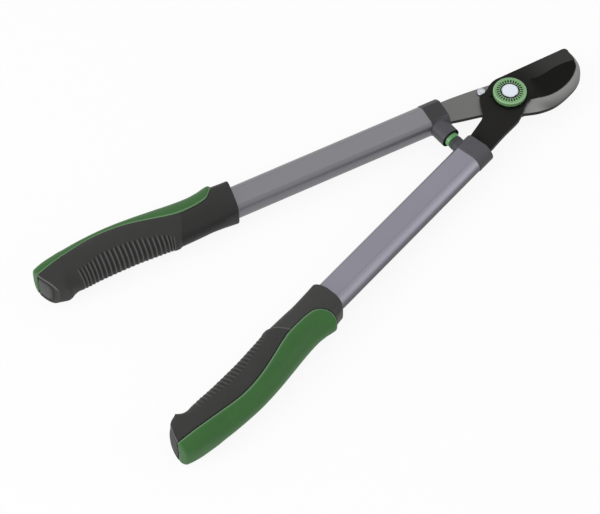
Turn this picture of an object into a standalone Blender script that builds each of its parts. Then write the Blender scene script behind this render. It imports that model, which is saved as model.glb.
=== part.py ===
# Bypass lopper with two mirrored oval-tube handles, modelled closed and lying flat.
# Origin: pivot axis at the plane the tool lies on. +X runs from the handles to the jaws,
# +Y towards the handle that carries the hook, +Z up through the adjusting disc.

import math

import bmesh
import bpy
from mathutils import Vector

MM = 0.001

# Fits
CLEARANCE = 0.3
HOLE_CLEARANCE = 0.3

# Layout of the two handles
PIVOT_HEIGHT = 16.0
HANDLE_HALF_ANGLE = 11.24
HANDLE_OFFSET = 13.6

# Blade and hook plates
HOOK_THICKNESS = 4.0
BLADE_THICKNESS = 4.0
EDGE_LAND = 0.5
BLADE_BOSS_RADIUS = 20.4
HOOK_BOSS_RADIUS = 19.8
BLADE_TIP_X = 73.4
BLADE_TIP_Y = 7.4
HOOK_TIP_X = 75.2
TANG_WIDTH = 18.0
TANG_END = 98.0

# Pivot hardware
BOLT_DIAMETER = 8.0
BOLT_HEAD_FLATS = 14.0
BOLT_HEAD_HEIGHT = 3.9
NUT_FLATS = 13.0
NUT_HEIGHT = 8.0
NUT_COLLAR_HEIGHT = 2.4
WASHER_DIAMETER = 17.0
WASHER_THICKNESS = 1.6
DISC_DIAMETER = 30.0
DISC_THICKNESS = 5.0
DISC_FLOOR = 1.2
DISC_SLOTS = 28
DISC_SLOT_INNER = 9.2
DISC_SLOT_OUTER = 12.2
DISC_SLOT_DEPTH = 1.2
STOP_PIN_DIAMETER = 8.0
STOP_PIN_SHANK = 5.0
STOP_PIN_ANGLE = 129.9
STOP_PIN_HEIGHT = 2.3
STOP_PIN_GAP = 1.0

# Handle tubes
TUBE_WIDTH = 28.3
TUBE_HEIGHT = 19.6
TUBE_FLAT = 17.1
TUBE_WALL = 1.2
TUBE_END = 425.0

# Ferrules, inserts and rivets
FERRULE_START = 58.2
FERRULE_END = 78.2
FERRULE_WALL = 1.0
FERRULE_FRONT = 3.2
FERRULE_ROUNDING = 2.2
BLADE_SLOT_OUT = 11.5
BLADE_SLOT_IN = 12.7
HOOK_SLOT_OUT = 10.3
HOOK_SLOT_IN = 13.7
INSERT_LENGTH = 46.0
RIVET_DIAMETER = 5.0
RIVET_PLACES = (66.0, 74.0)

# Bumper between the ferrules
BUMPER_X = -67.8
BUMPER_DIAMETER = 13.0
BUMPER_FACE = -5.5
SOCKET_DIAMETER = 18.0
SOCKET_FACE = -1.5
SOCKET_DEPTH = 8.0
PAD_DIAMETER = 12.4
PAD_THICKNESS = 3.4
PAD_STEM_DIAMETER = 5.0
PAD_STEM_LENGTH = 2.6

# Grips
GRIP_START = 269.0
GRIP_END = 460.5
BUTT_APEX = 8.0
BUTT_BEND = 0.012
BUTT_FLAT = 12.0
BUTT_CORNER = 0.05
COVER_LAYER = 2.3
PAD_LAYER = 1.4
GRIP_ROUNDNESS = 2.15
BUTT_ROUNDING = 3.5
BUTT_RINGS = (0.72, 0.42)
BUTT_EYE = 0.14
BUTT_BUTTON = 0.1
HOOK_BUTT_SHIFT = -2.8
BLADE_BUTT_SHIFT = 3.8
BUTT_REACH = 60.0
BUTT_CORNER_REACH = 15.0
SHOULDER_PLACE = 318.0
SHOULDER_SLANT = 0.47
SHOULDER_SPREAD = 14.0
SHOULDER_STEP = 0.9
COVER_START = 284.0
COVER_PROUD = 0.6
RIB_COUNT = 22
RIB_START = 335.0
RIB_PITCH = 4.1
RIB_DEPTH = 0.9
REST_FLAT = 0.4
SADDLE_COLUMNS = 6
PALM_COLUMNS = 8
COVER_COLUMNS = 8
PAD_COLUMNS = 10

HOOK_TOP = HOOK_THICKNESS / 2
HOOK_BOTTOM = -HOOK_THICKNESS / 2
BLADE_BOTTOM = HOOK_TOP + CLEARANCE
BLADE_TOP = BLADE_BOTTOM + BLADE_THICKNESS
DISC_BOTTOM = BLADE_TOP + CLEARANCE
DISC_TOP = DISC_BOTTOM + DISC_THICKNESS
HEAD_BOTTOM = DISC_BOTTOM + DISC_FLOOR + CLEARANCE
WASHER_TOP = HOOK_BOTTOM - CLEARANCE
NUT_TOP = WASHER_TOP - WASHER_THICKNESS - CLEARANCE
BOLT_END = -PIVOT_HEIGHT
BOLT_RADIUS = BOLT_DIAMETER / 2
HOLE_RADIUS = BOLT_RADIUS + HOLE_CLEARANCE
STOP_PIN_RADIUS = STOP_PIN_DIAMETER / 2
STOP_PIN_DISTANCE = BLADE_BOSS_RADIUS + STOP_PIN_RADIUS + STOP_PIN_GAP
TUBE_START = FERRULE_START + FERRULE_FRONT + CLEARANCE
GRIP_FLOOR = PIVOT_HEIGHT + REST_FLAT
SHOULDER_TOP = 2.4

BLADE_SIDE = 1
HOOK_SIDE = -1


# Scene and materials
def clear_scene():
    for obj in list(bpy.data.objects):
        bpy.data.objects.remove(obj, do_unlink=True)


def make_material(name, color, roughness, metallic=0.0):
    material = bpy.data.materials.new(name)
    material.use_nodes = True
    shader = material.node_tree.nodes["Principled BSDF"]
    shader.inputs["Base Color"].default_value = (*color, 1.0)
    shader.inputs["Roughness"].default_value = roughness
    shader.inputs["Metallic"].default_value = metallic
    material.diffuse_color = (*color, 1.0)
    return material


def make_frame(name, location=(0, 0, 0), turn=0.0, parent=None):
    frame = bpy.data.objects.new(name, None)
    bpy.context.collection.objects.link(frame)
    frame.location = Vector(location) * MM
    frame.rotation_euler = (0, 0, math.radians(turn))
    frame.parent = parent
    return frame


def make_object(name, bm, material, parent):
    bmesh.ops.remove_doubles(bm, verts=bm.verts, dist=1e-5)
    bmesh.ops.recalc_face_normals(bm, faces=bm.faces)
    bmesh.ops.scale(bm, vec=(MM, MM, MM), verts=bm.verts)
    mesh = bpy.data.meshes.new(name)
    bm.to_mesh(mesh)
    bm.free()
    mesh.shade_smooth()
    mesh.set_sharp_from_angle(angle=math.radians(32))
    obj = bpy.data.objects.new(name, mesh)
    bpy.context.collection.objects.link(obj)
    if material:
        mesh.materials.append(material)
    obj.parent = parent
    return obj


def add_boolean(target, tool, operation):
    modifier = target.modifiers.new(tool.name, "BOOLEAN")
    modifier.operation = operation
    modifier.solver = "EXACT"
    modifier.object = tool
    tool.hide_render = True
    tool.display_type = "WIRE"


def cut(target, *tools):
    for tool in tools:
        add_boolean(target, tool, "DIFFERENCE")


def join(target, *tools):
    for tool in tools:
        add_boolean(target, tool, "UNION")


# Outlines
def arc_points(center, radius, start, end, steps):
    points = []
    for i in range(steps + 1):
        angle = math.radians(start + (end - start) * i / steps)
        points.append((center[0] + radius * math.cos(angle), center[1] + radius * math.sin(angle)))
    return points


def smooth_points(points, steps):
    ends = [points[0]] + list(points) + [points[-1]]
    result = []
    for a, b, c, d in zip(ends, ends[1:], ends[2:], ends[3:]):
        for i in range(steps):
            t = i / steps
            result.append(tuple(spline_value(a[k], b[k], c[k], d[k], t) for k in range(2)))
    return result + [tuple(points[-1])]


def spline_value(a, b, c, d, t):
    return b + 0.5 * t * (c - a + t * (2 * a - 5 * b + 4 * c - d + t * (3 * (b - c) + d - a)))


def curve_value(table, x):
    if x <= table[0][0]:
        return table[0][1]
    if x >= table[-1][0]:
        return table[-1][1]
    i = next(k for k in range(len(table) - 1) if table[k + 1][0] >= x)
    (x0, y0), (x1, y1) = table[i], table[i + 1]
    before = table[i - 1][1] if i > 0 else y0
    after = table[i + 2][1] if i + 2 < len(table) else y1
    return spline_value(before, y0, y1, after, (x - x0) / (x1 - x0))


def smooth_step(low, high, x):
    t = min(max((x - low) / (high - low), 0.0), 1.0)
    return t * t * (3 - 2 * t)


def handle_point(along, out, side):
    angle = math.radians(HANDLE_HALF_ANGLE)
    out = out + HANDLE_OFFSET
    x = -along * math.cos(angle) + out * math.sin(angle)
    y = along * math.sin(angle) + out * math.cos(angle)
    return (x, -side * y)


def tangent_point(x, y, radius, side):
    distance = math.hypot(x, y)
    angle = math.atan2(y, x) + side * math.acos(radius / distance)
    return math.degrees(angle)


# Solids
def loft(sections, closed_ends=True):
    bm = bmesh.new()
    rings = [[bm.verts.new(point) for point in section] for section in sections]
    for ring, following in zip(rings, rings[1:]):
        bridge(bm, ring, following)
    if closed_ends:
        bm.faces.new(rings[0])
        bm.faces.new(rings[-1][::-1])
    return bm


def bridge(bm, ring, following):
    count = len(ring)
    for i in range(count):
        j = (i + 1) % count
        bm.faces.new((ring[j], ring[i], following[i], following[j]))


def prism(outline, low, high):
    return loft([[(x, y, z) for x, y in outline] for z in (low, high)])


def bar(outline, start, end):
    return loft([[(x, y, z) for y, z in outline] for x in (start, end)])


def cylinder(radius, low, high, segments=24, center=(0, 0)):
    return prism(arc_points(center, radius, 0, 360, segments)[:-1], low, high)


def hexagon(flats, low, high, center=(0, 0)):
    return prism(arc_points(center, flats / math.sqrt(3), 30, 390, 6)[:-1], low, high)


def turned(profile, segments):
    sections = []
    for radius, z in profile:
        ring = arc_points((0, 0), radius, 0, 360, segments)[:-1]
        sections.append([(x, y, z) for x, y in ring])
    return loft(sections)


def ring_solid(profile, segments):
    sections = []
    for i in range(segments):
        angle = 2 * math.pi * i / segments
        sections.append([(r * math.cos(angle), r * math.sin(angle), z) for r, z in profile])
    bm = loft(sections + [sections[0]], closed_ends=False)
    bmesh.ops.remove_doubles(bm, verts=bm.verts, dist=1e-5)
    return bm


def tool_object(name, bm, parent):
    return make_object(name, bm, None, parent)


# Blade and hook
def blade_edge_line():
    return smooth_points([
        (BLADE_TIP_X - 1.6, -7.0), (70.2, -10.4), (66.9, -13.6), (60.5, -17.6), (52.0, -20.6),
        (41.9, -22.0), (31.9, -21.3), (25.2, -19.3), (19.0, -16.3), (13.2, -14.0),
    ], 3)


def bevel_line(count):
    line = smooth_points([
        (BLADE_TIP_X - 2.2, -6.6), (69.4, -6.7), (66.2, -5.7), (60.0, -3.8), (51.5, -2.4),
        (41.0, -2.0), (32.0, -1.2), (25.0, 1.0), (20.5, -5.6), (13.6, -13.6),
    ], 3)
    return line[:count]


def stop_pin_center():
    angle = math.radians(STOP_PIN_ANGLE)
    return (STOP_PIN_DISTANCE * math.cos(angle), STOP_PIN_DISTANCE * math.sin(angle))


def stop_notch():
    radius = STOP_PIN_RADIUS + CLEARANCE
    facing = STOP_PIN_ANGLE + 180
    return arc_points(stop_pin_center(), radius, facing + 10, facing - 62, 5)


def blade_back_outline():
    tang = TANG_WIDTH / 2
    step = FERRULE_START + FERRULE_FRONT
    spine_angle = tangent_point(BLADE_TIP_X - 3.0, BLADE_TIP_Y + 1.2, BLADE_BOSS_RADIUS, 1)
    heel = smooth_points([
        (9.4, -14.3), (5.0, -16.6), (0.0, -19.7), (-5.8, -23.6), (-9.8, -25.6), (-15.0, -27.6), (-33.0, -31.0),
        handle_point(FERRULE_START - 1, 11.2, BLADE_SIDE),
    ], 3)
    socket = [handle_point(a, o, BLADE_SIDE) for a, o in (
        (step, 11.0), (step, tang), (TANG_END, tang), (TANG_END, -tang), (step, -tang), (step, -12.2))]
    throat = smooth_points([
        handle_point(FERRULE_START - 1, -12.3, BLADE_SIDE), (-42.6, -7.6), (-36.9, -5.1),
        (-32.0, -0.3), (-25.6, 10.1), (-22.2, 15.2),
    ], 3)
    notch = stop_notch()[::-1]
    pin_angle = math.degrees(math.atan2(notch[-1][1], notch[-1][0]))
    boss = arc_points((0, 0), BLADE_BOSS_RADIUS, pin_angle - 2, spine_angle, 8)
    tip = [(BLADE_TIP_X - 3.0, BLADE_TIP_Y + 1.2), (BLADE_TIP_X - 1.0, BLADE_TIP_Y + 0.3),
           (BLADE_TIP_X, BLADE_TIP_Y - 2.0), (BLADE_TIP_X - 0.9, 0.5), (BLADE_TIP_X - 1.7, -5.0)]
    return heel + socket + throat + notch + boss + tip


def build_blade(parent, material):
    edge = blade_edge_line()
    back = blade_back_outline()
    bevel = bevel_line(len(edge))
    bm = bmesh.new()
    low_edge = [bm.verts.new((x, y, BLADE_BOTTOM)) for x, y in edge]
    low_back = [bm.verts.new((x, y, BLADE_BOTTOM)) for x, y in back]
    land = [bm.verts.new((x, y, BLADE_BOTTOM + EDGE_LAND)) for x, y in edge]
    ridge = [bm.verts.new((x, y, BLADE_TOP)) for x, y in bevel]
    top_back = [bm.verts.new((x, y, BLADE_TOP)) for x, y in back]
    bm.faces.new(low_edge + low_back)
    bm.faces.new((ridge + top_back)[::-1])
    for row, following in ((low_edge, land), (land, ridge), (low_back, top_back)):
        for i in range(len(row) - 1):
            bm.faces.new((row[i + 1], row[i], following[i], following[i + 1]))
    bm.faces.new((low_back[0], low_edge[-1], land[-1], ridge[-1], top_back[0]))
    bm.faces.new((low_edge[0], low_back[-1], top_back[-1], ridge[0], land[0]))
    bmesh.ops.triangulate(bm, faces=[f for f in bm.faces if len(f.verts) > 4])
    blade = make_object("cutting_blade", bm, material, parent)
    cut(blade, tool_object("blade_bolt_hole", cylinder(HOLE_RADIUS, 0, BLADE_TOP + 2), parent))
    cut_rivet_holes(blade, "blade_tang", BLADE_SIDE, parent)
    return blade


def hook_outline():
    tang = TANG_WIDTH / 2
    step = FERRULE_START + FERRULE_FRONT
    outer = smooth_points([
        (HOOK_TIP_X, 2.4), (HOOK_TIP_X - 0.2, -1.2), (74.2, -6.3), (72.7, -11.1), (70.5, -15.4),
        (67.0, -19.9), (62.5, -24.2), (57.0, -27.4), (50.0, -29.9), (36.5, -32.4), (23.5, -32.7), (10.0, -29.0), (-2.0, -22.4),
    ], 3)
    boss_lower = arc_points((0, 0), HOOK_BOSS_RADIUS + 3, 250, 215, 4)
    lower = smooth_points([
        (-33.0, 1.0), (-50.0, 8.4), handle_point(FERRULE_START - 1, -13.4, HOOK_SIDE)], 2)
    socket = [handle_point(a, o, HOOK_SIDE) for a, o in (
        (step, -13.2), (step, -tang), (TANG_END, -tang), (TANG_END, tang), (step, tang), (step, 9.8))]
    upper = smooth_points([
        handle_point(FERRULE_START - 1, 9.9, HOOK_SIDE), (-41.9, 32.1), (-23.2, 27.0),
        (-8.0, 22.4)], 3)
    boss_upper = arc_points((0, 0), HOOK_BOSS_RADIUS, 88, -12, 8)
    mouth = smooth_points([
        (22.5, -11.0), (34.0, -15.6), (47.0, -15.4), (58.5, -11.0), (66.5, -3.5), (70.2, 4.2),
    ], 3)
    tip = [(71.6, 5.8), (73.6, 5.6), (HOOK_TIP_X - 0.2, 4.2)]
    return outer + boss_lower + lower + socket + upper + boss_upper + mouth + tip


def build_hook(parent, material):
    bm = prism(hook_outline(), HOOK_BOTTOM, HOOK_TOP)
    bmesh.ops.triangulate(bm, faces=[f for f in bm.faces if len(f.verts) > 4])
    hook = make_object("hook", bm, material, parent)
    cut(hook, tool_object("hook_bolt_hole", cylinder(HOLE_RADIUS, -9, 9), parent))
    pin_hole = cylinder(STOP_PIN_SHANK / 2 + HOLE_CLEARANCE, -9, 9, 16, stop_pin_center())
    cut(hook, tool_object("stop_pin_hole", pin_hole, parent))
    cut_rivet_holes(hook, "hook_tang", HOOK_SIDE, parent)
    return hook


def cut_rivet_holes(target, name, side, parent):
    radius = RIVET_DIAMETER / 2 + HOLE_CLEARANCE
    for number, along in enumerate(RIVET_PLACES, 1):
        hole = cylinder(radius, -TUBE_HEIGHT, TUBE_HEIGHT, 12, handle_point(along, 0, side))
        cut(target, tool_object(f"{name}_hole_{number}_of_{target.name}", hole, parent))


# Pivot hardware
def build_bolt(parent, material):
    head = hexagon(BOLT_HEAD_FLATS, HEAD_BOTTOM, HEAD_BOTTOM + BOLT_HEAD_HEIGHT)
    crown = [edge for edge in head.edges if all(v.co.z > HEAD_BOTTOM + 1 for v in edge.verts)]
    bmesh.ops.bevel(head, geom=crown, offset=0.7, segments=2, affect="EDGES", profile=0.6)
    bolt = make_object("pivot_bolt", head, material, parent)
    chamfer = 0.8
    shank = turned([
        (BOLT_RADIUS - chamfer, BOLT_END), (BOLT_RADIUS, BOLT_END + chamfer),
        (BOLT_RADIUS, HEAD_BOTTOM + 1.0)], 24)
    join(bolt, tool_object("bolt_shank", shank, parent))
    return bolt


def build_disc(parent, material):
    outer = DISC_DIAMETER / 2
    bore = BOLT_HEAD_FLATS / math.sqrt(3) + CLEARANCE
    rim = 1.0
    bm = ring_solid([
        (HOLE_RADIUS, DISC_BOTTOM), (outer - rim, DISC_BOTTOM), (outer, DISC_BOTTOM + rim),
        (outer, DISC_TOP - rim), (outer - 0.3 * rim, DISC_TOP - 0.3 * rim), (outer - rim, DISC_TOP),
        (bore, DISC_TOP), (bore, DISC_BOTTOM + DISC_FLOOR), (HOLE_RADIUS, DISC_BOTTOM + DISC_FLOOR),
    ], 2 * DISC_SLOTS)
    disc = make_object("adjusting_disc", bm, material, parent)
    cut(disc, tool_object("disc_slots", slot_ring(), parent))
    return disc


def slot_ring():
    bm = bmesh.new()
    pitch = 360 / DISC_SLOTS
    for i in range(DISC_SLOTS):
        low, high = pitch * (i + 0.25), pitch * (i + 0.75)
        inner = arc_points((0, 0), DISC_SLOT_INNER, low, high, 1)
        outer = arc_points((0, 0), DISC_SLOT_OUTER, high, low, 1)
        slot = prism(inner + outer, DISC_TOP - DISC_SLOT_DEPTH, DISC_TOP + 1)
        piece = bpy.data.meshes.new("slot")
        slot.to_mesh(piece)
        slot.free()
        bm.from_mesh(piece)
        bpy.data.meshes.remove(piece)
    return bm


def build_washer(parent, material):
    radius = WASHER_DIAMETER / 2
    low = WASHER_TOP - WASHER_THICKNESS
    bm = ring_solid([(HOLE_RADIUS, low), (radius, low), (radius, WASHER_TOP), (HOLE_RADIUS, WASHER_TOP)], 24)
    return make_object("rear_washer", bm, material, parent)


def build_nut(parent, material):
    low = NUT_TOP - NUT_HEIGHT
    body = hexagon(NUT_FLATS, low + NUT_COLLAR_HEIGHT, NUT_TOP)
    nut = make_object("pivot_nut", body, material, parent)
    radius = NUT_FLATS / 2 - 0.3
    collar = turned([(radius - 0.8, low), (radius, low + 0.8), (radius, low + NUT_COLLAR_HEIGHT + 1)], 24)
    join(nut, tool_object("nut_collar", collar, parent))
    cut(nut, tool_object("nut_bore", cylinder(HOLE_RADIUS, low - 2, NUT_TOP + 2), parent))
    return nut


def build_stop_pin(parent, material):
    x, y = stop_pin_center()
    top = HOOK_TOP + CLEARANCE + STOP_PIN_HEIGHT
    head = turned([
        (STOP_PIN_RADIUS, HOOK_TOP + CLEARANCE), (STOP_PIN_RADIUS, top - 0.7),
        (STOP_PIN_RADIUS - 0.3, top - 0.2), (STOP_PIN_RADIUS - 1.0, top)], 24)
    bmesh.ops.translate(head, vec=(x, y, 0), verts=head.verts)
    pin = make_object("stop_pin", head, material, parent)
    shank = cylinder(STOP_PIN_SHANK / 2, HOOK_BOTTOM, HOOK_TOP + 1, 16, (x, y))
    join(pin, tool_object("stop_pin_shank", shank, parent))
    return pin


# Handle tubes, ferrules and inserts
def tube_section(offset, steps=6):
    half_width, half_flat, half_height = TUBE_WIDTH / 2, TUBE_FLAT / 2, TUBE_HEIGHT / 2
    center = (half_width ** 2 - half_flat ** 2 - half_height ** 2) / (2 * (half_width - half_flat))
    radius = half_width - center + offset
    turn = math.degrees(math.asin((half_height + offset) / radius))
    right = arc_points((center, 0), radius, -turn, turn, steps)
    left = arc_points((-center, 0), radius, 180 - turn, 180 + turn, steps)
    return right + left


def sleeve(outer, inner, start, end):
    bm = bmesh.new()
    rings = []
    for outline, x in ((outer, start), (outer, end), (inner, end), (inner, start)):
        rings.append([bm.verts.new((x, y, z)) for y, z in outline])
    for ring, following in zip(rings, rings[1:] + rings[:1]):
        bridge(bm, ring, following)
    return bm


def build_tube(name, side, parent, material):
    bm = sleeve(tube_section(0), tube_section(-TUBE_WALL), TUBE_START, TUBE_END)
    tube = make_object(name, bm, material, parent)
    cut_local_rivet_holes(tube, parent)
    return tube


def cut_local_rivet_holes(target, parent):
    radius = RIVET_DIAMETER / 2 + HOLE_CLEARANCE
    for number, along in enumerate(RIVET_PLACES, 1):
        hole = cylinder(radius, -TUBE_HEIGHT, TUBE_HEIGHT, 12, (along, 0))
        cut(target, tool_object(f"{target.name}_rivet_hole_{number}", hole, parent))


def build_rivet(name, along, parent, material):
    bm = cylinder(RIVET_DIAMETER / 2, -TUBE_HEIGHT / 2, TUBE_HEIGHT / 2, 12, (along, 0))
    return make_object(name, bm, material, parent)


def plate_levels(side):
    return (BLADE_BOTTOM, BLADE_TOP) if side == BLADE_SIDE else (HOOK_BOTTOM, HOOK_TOP)


def slot_outline(side, half_width_out, half_width_in):
    low, high = plate_levels(side)
    low, high = low - CLEARANCE, high + CLEARANCE
    return [(-half_width_in, low), (half_width_out, low), (half_width_out, high), (-half_width_in, high)]


def mirrored(bm, side):
    if side == HOOK_SIDE:
        bmesh.ops.scale(bm, vec=(1, -1, 1), verts=bm.verts)
        bmesh.ops.reverse_faces(bm, faces=bm.faces)
    return bm


def build_insert(name, side, parent, material):
    end = TUBE_START + INSERT_LENGTH
    bm = bar(tube_section(-TUBE_WALL - CLEARANCE), TUBE_START, end)
    insert = make_object(name, bm, material, parent)
    half = TANG_WIDTH / 2 + CLEARANCE
    slot = bar(slot_outline(side, half, half), TUBE_START - 2, TANG_END + CLEARANCE)
    cut(insert, tool_object(f"{name}_slot", slot, parent))
    cut_local_rivet_holes(insert, parent)
    return insert


def build_ferrule(name, side, parent, head_frame, material):
    outer = CLEARANCE + FERRULE_WALL
    stations = []
    for step in range(4):
        angle = math.radians(30 * step)
        inset = FERRULE_ROUNDING * (1 - math.sin(angle))
        stations.append((FERRULE_START + FERRULE_ROUNDING * (1 - math.cos(angle)), outer - inset))
    stations += [(FERRULE_END - 0.5, outer), (FERRULE_END, outer - 0.5)]
    sections = [[(x, y, z) for y, z in tube_section(offset)] for x, offset in stations]
    ferrule = make_object(name, loft(sections), material, parent)
    if side == HOOK_SIDE:
        add_socket(ferrule, head_frame)
    else:
        add_pad_seat(ferrule, head_frame)
    pocket = bar(tube_section(CLEARANCE), FERRULE_START + FERRULE_FRONT, FERRULE_END + 2)
    cut(ferrule, tool_object(f"{name}_pocket", pocket, parent))
    wide_out = BLADE_SLOT_OUT if side == BLADE_SIDE else HOOK_SLOT_OUT
    wide_in = BLADE_SLOT_IN if side == BLADE_SIDE else HOOK_SLOT_IN
    slot = bar(slot_outline(side, wide_out, wide_in), FERRULE_START - 3, FERRULE_START + FERRULE_FRONT + 1)
    cut(ferrule, tool_object(f"{name}_tang_slot", mirrored(slot, side), parent))
    return ferrule


# Bumper between the ferrules, along the Y direction of the head
def cross_cylinder(radius, start, end, segments=24):
    bm = cylinder(radius, start, end, segments)
    for vert in bm.verts:
        vert.co = (BUMPER_X + vert.co.x, vert.co.z, vert.co.y)
    bmesh.ops.reverse_faces(bm, faces=bm.faces)
    return bm


def add_socket(ferrule, frame):
    boss = cross_cylinder(SOCKET_DIAMETER / 2, SOCKET_FACE, 22)
    rim = [edge for edge in boss.edges if all(v.co.y < SOCKET_FACE + 0.1 for v in edge.verts)]
    bmesh.ops.bevel(boss, geom=rim, offset=0.6, segments=2, affect="EDGES", profile=0.5)
    join(ferrule, tool_object("bumper_socket_boss", boss, frame))
    bore = cross_cylinder(BUMPER_DIAMETER / 2 + CLEARANCE, SOCKET_FACE - 3, SOCKET_FACE + SOCKET_DEPTH)
    cut(ferrule, tool_object("bumper_socket_bore", bore, frame))


def pad_back():
    return BUMPER_FACE - CLEARANCE - PAD_THICKNESS


def add_pad_seat(ferrule, frame):
    face = pad_back() - CLEARANCE
    seat = cross_cylinder(PAD_DIAMETER / 2, -24, face)
    join(ferrule, tool_object("pad_seat_boss", seat, frame))
    hole = cross_cylinder(PAD_STEM_DIAMETER / 2 + CLEARANCE, face - PAD_STEM_LENGTH, face + 2, 16)
    cut(ferrule, tool_object("pad_seat_hole", hole, frame))


def build_bumper(parent, material):
    back = SOCKET_FACE + SOCKET_DEPTH - CLEARANCE
    bm = cross_cylinder(BUMPER_DIAMETER / 2, BUMPER_FACE, back)
    nose = [edge for edge in bm.edges if all(v.co.y < BUMPER_FACE + 0.1 for v in edge.verts)]
    bmesh.ops.bevel(bm, geom=nose, offset=1.2, segments=3, affect="EDGES", profile=0.5)
    return make_object("bumper", bm, material, parent)


def build_bumper_pad(parent, material):
    bm = cross_cylinder(PAD_DIAMETER / 2, pad_back(), pad_back() + PAD_THICKNESS)
    nose = [edge for edge in bm.edges if all(v.co.y > pad_back() + 1 for v in edge.verts)]
    bmesh.ops.bevel(bm, geom=nose, offset=0.8, segments=2, affect="EDGES", profile=0.5)
    pad = make_object("bumper_pad", bm, material, parent)
    stem = cross_cylinder(PAD_STEM_DIAMETER / 2, pad_back() - PAD_STEM_LENGTH, pad_back() + 1, 16)
    join(pad, tool_object("bumper_pad_stem", stem, parent))
    return pad


# Grip form: distances from the handle's axis along the handle
def grip_outer(s):
    return curve_value([
        (269, 17.6), (276, 19.0), (285, 21.6), (293, 20.4), (305, 19.4), (320, 20.0), (340, 21.6),
        (362, 23.4), (382, 24.6), (398, 24.2), (415, 22.6), (432, 20.6), (448, 18.4), (461, 16.0)], s)


def grip_inner(s):
    return curve_value([
        (269, 16.9), (290, 17.2), (318, 17.4), (330, 18.0), (345, 17.4), (370, 17.2), (400, 17.3),
        (420, 17.8), (432, 19.2), (441, 21.4), (449, 22.2), (461, 21.0)], s)


def grip_height(s):
    return curve_value([
        (269, 13.8), (285, 14.6), (305, 15.4), (330, 16.0), (360, 16.4), (400, 16.4), (430, 16.2),
        (445, 15.8), (461, 15.0)], s)


def cover_edge(s):
    return curve_value([
        (284, 21.4), (285, 14.5), (288, 8.0), (293, 4.2), (302, 3.0), (318, 2.4), (328, 3.4),
        (345, 7.4), (362, 11.0), (375, 12.6), (388, 13.0), (400, 12.2), (415, 9.6), (430, 6.8),
        (445, 3.8), (461, 1.0)], s)


def grip_center(s):
    return (grip_outer(s) - grip_inner(s)) / 2


def grip_point(s, angle, inset, share=1.0):
    center, width = grip_center(s), grip_outer(s) - grip_center(s)
    power = 2 / GRIP_ROUNDNESS
    cosine, sine = math.cos(angle), math.sin(angle)
    y = center + (width - inset) * math.copysign(abs(cosine) ** power, cosine)
    y += (1 - share) * (cover_edge(s) - y)
    z = share * (grip_height(s) - inset) * math.copysign(abs(sine) ** power, sine)
    z = max(z, inset + REST_FLAT - GRIP_FLOOR)
    shoulder = SHOULDER_SLANT * math.exp(-((s - SHOULDER_PLACE) / SHOULDER_SPREAD) ** 2)
    return (s + shoulder * max(SHOULDER_TOP - y, 0.0) - butt_bend(s, y), y, z)


def sided_grip(bm, side):
    shift = BLADE_BUTT_SHIFT if side == BLADE_SIDE else HOOK_BUTT_SHIFT
    for vert in bm.verts:
        vert.co.x += shift * smooth_step(GRIP_END - BUTT_REACH, GRIP_END, vert.co.x)
    return mirrored(bm, side)


def butt_bend(s, y):
    bow = BUTT_BEND * (y - BUTT_APEX) ** 2 * smooth_step(GRIP_END - BUTT_REACH, GRIP_END, s)
    corner = BUTT_CORNER * max(abs(y) - BUTT_FLAT, 0.0) ** 2
    corner *= smooth_step(GRIP_END - BUTT_CORNER_REACH, GRIP_END, s)
    return bow + corner


def tongue_stations():
    return [285, 285.5, 286.2, 287.2, 288.6, 290.5, 294, 299, 306, 313]


def back_stations():
    return [325, 332, 340, 350, 360, 370, 380, 390, 400, 410, 418, 425, 431, 437, 443, 449, 454]


def cover_angle(s):
    s = max(s, COVER_START + CLEARANCE)
    ratio = (cover_edge(s) - grip_center(s)) / (grip_outer(s) - grip_center(s))
    ratio = min(ratio, 0.998)
    return math.acos(math.copysign(abs(ratio) ** (GRIP_ROUNDNESS / 2), ratio))


def angles_between(start, end, count):
    return [start + (end - start) * i / count for i in range(count + 1)]


def butt_stations(layer, eye=BUTT_EYE, steps=3):
    stations = []
    for i in range(steps + 1):
        angle = math.radians(90 * i / steps)
        radius = BUTT_ROUNDING - layer
        s = GRIP_END - BUTT_ROUNDING + radius * math.sin(angle)
        stations.append((s, BUTT_ROUNDING - radius * math.cos(angle), 1.0))
    return stations + [(GRIP_END - layer, BUTT_ROUNDING, share) for share in (*BUTT_RINGS, eye)]


def shell_solid(outer_rows, inner_rows):
    bm = bmesh.new()
    outer = [[bm.verts.new(p) for p in row] for row in outer_rows]
    inner = [[bm.verts.new(p) for p in row] for row in inner_rows]
    for rows, flip in ((outer, False), (inner, True)):
        for row, following in zip(rows, rows[1:]):
            for i in range(len(row) - 1):
                face = (row[i], row[i + 1], following[i + 1], following[i])
                bm.faces.new(face[::-1] if flip else face)
    for end in (0, -1):
        zip_rows(bm, outer[end], inner[end])
    for side in (0, -1):
        for k in range(len(outer) - 1):
            bm.faces.new((outer[k][side], outer[k + 1][side], inner[k + 1][side], inner[k][side]))
    return bm


def zip_rows(bm, first, second):
    i = j = 0
    while i < len(first) - 1 or j < len(second) - 1:
        if (i + 1) * (len(second) - 1) <= (j + 1) * (len(first) - 1):
            bm.faces.new((first[i], first[i + 1], second[j]))
            i += 1
        else:
            bm.faces.new((first[i], second[j + 1], second[j]))
            j += 1


def edge_gap_angle(s, share):
    return CLEARANCE / 2 / (share * grip_height(s))


def cover_rows(proud, columns, stations):
    rows = []
    for s, inset, share in stations:
        limit = cover_angle(s - CLEARANCE) - edge_gap_angle(s, share)
        row = []
        for i, angle in enumerate(angles_between(-limit, limit, columns)):
            lift = proud if 0 < i < columns else 0.0
            row.append(grip_point(s, angle, inset - lift, share))
        rows.append(row)
    return rows


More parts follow.
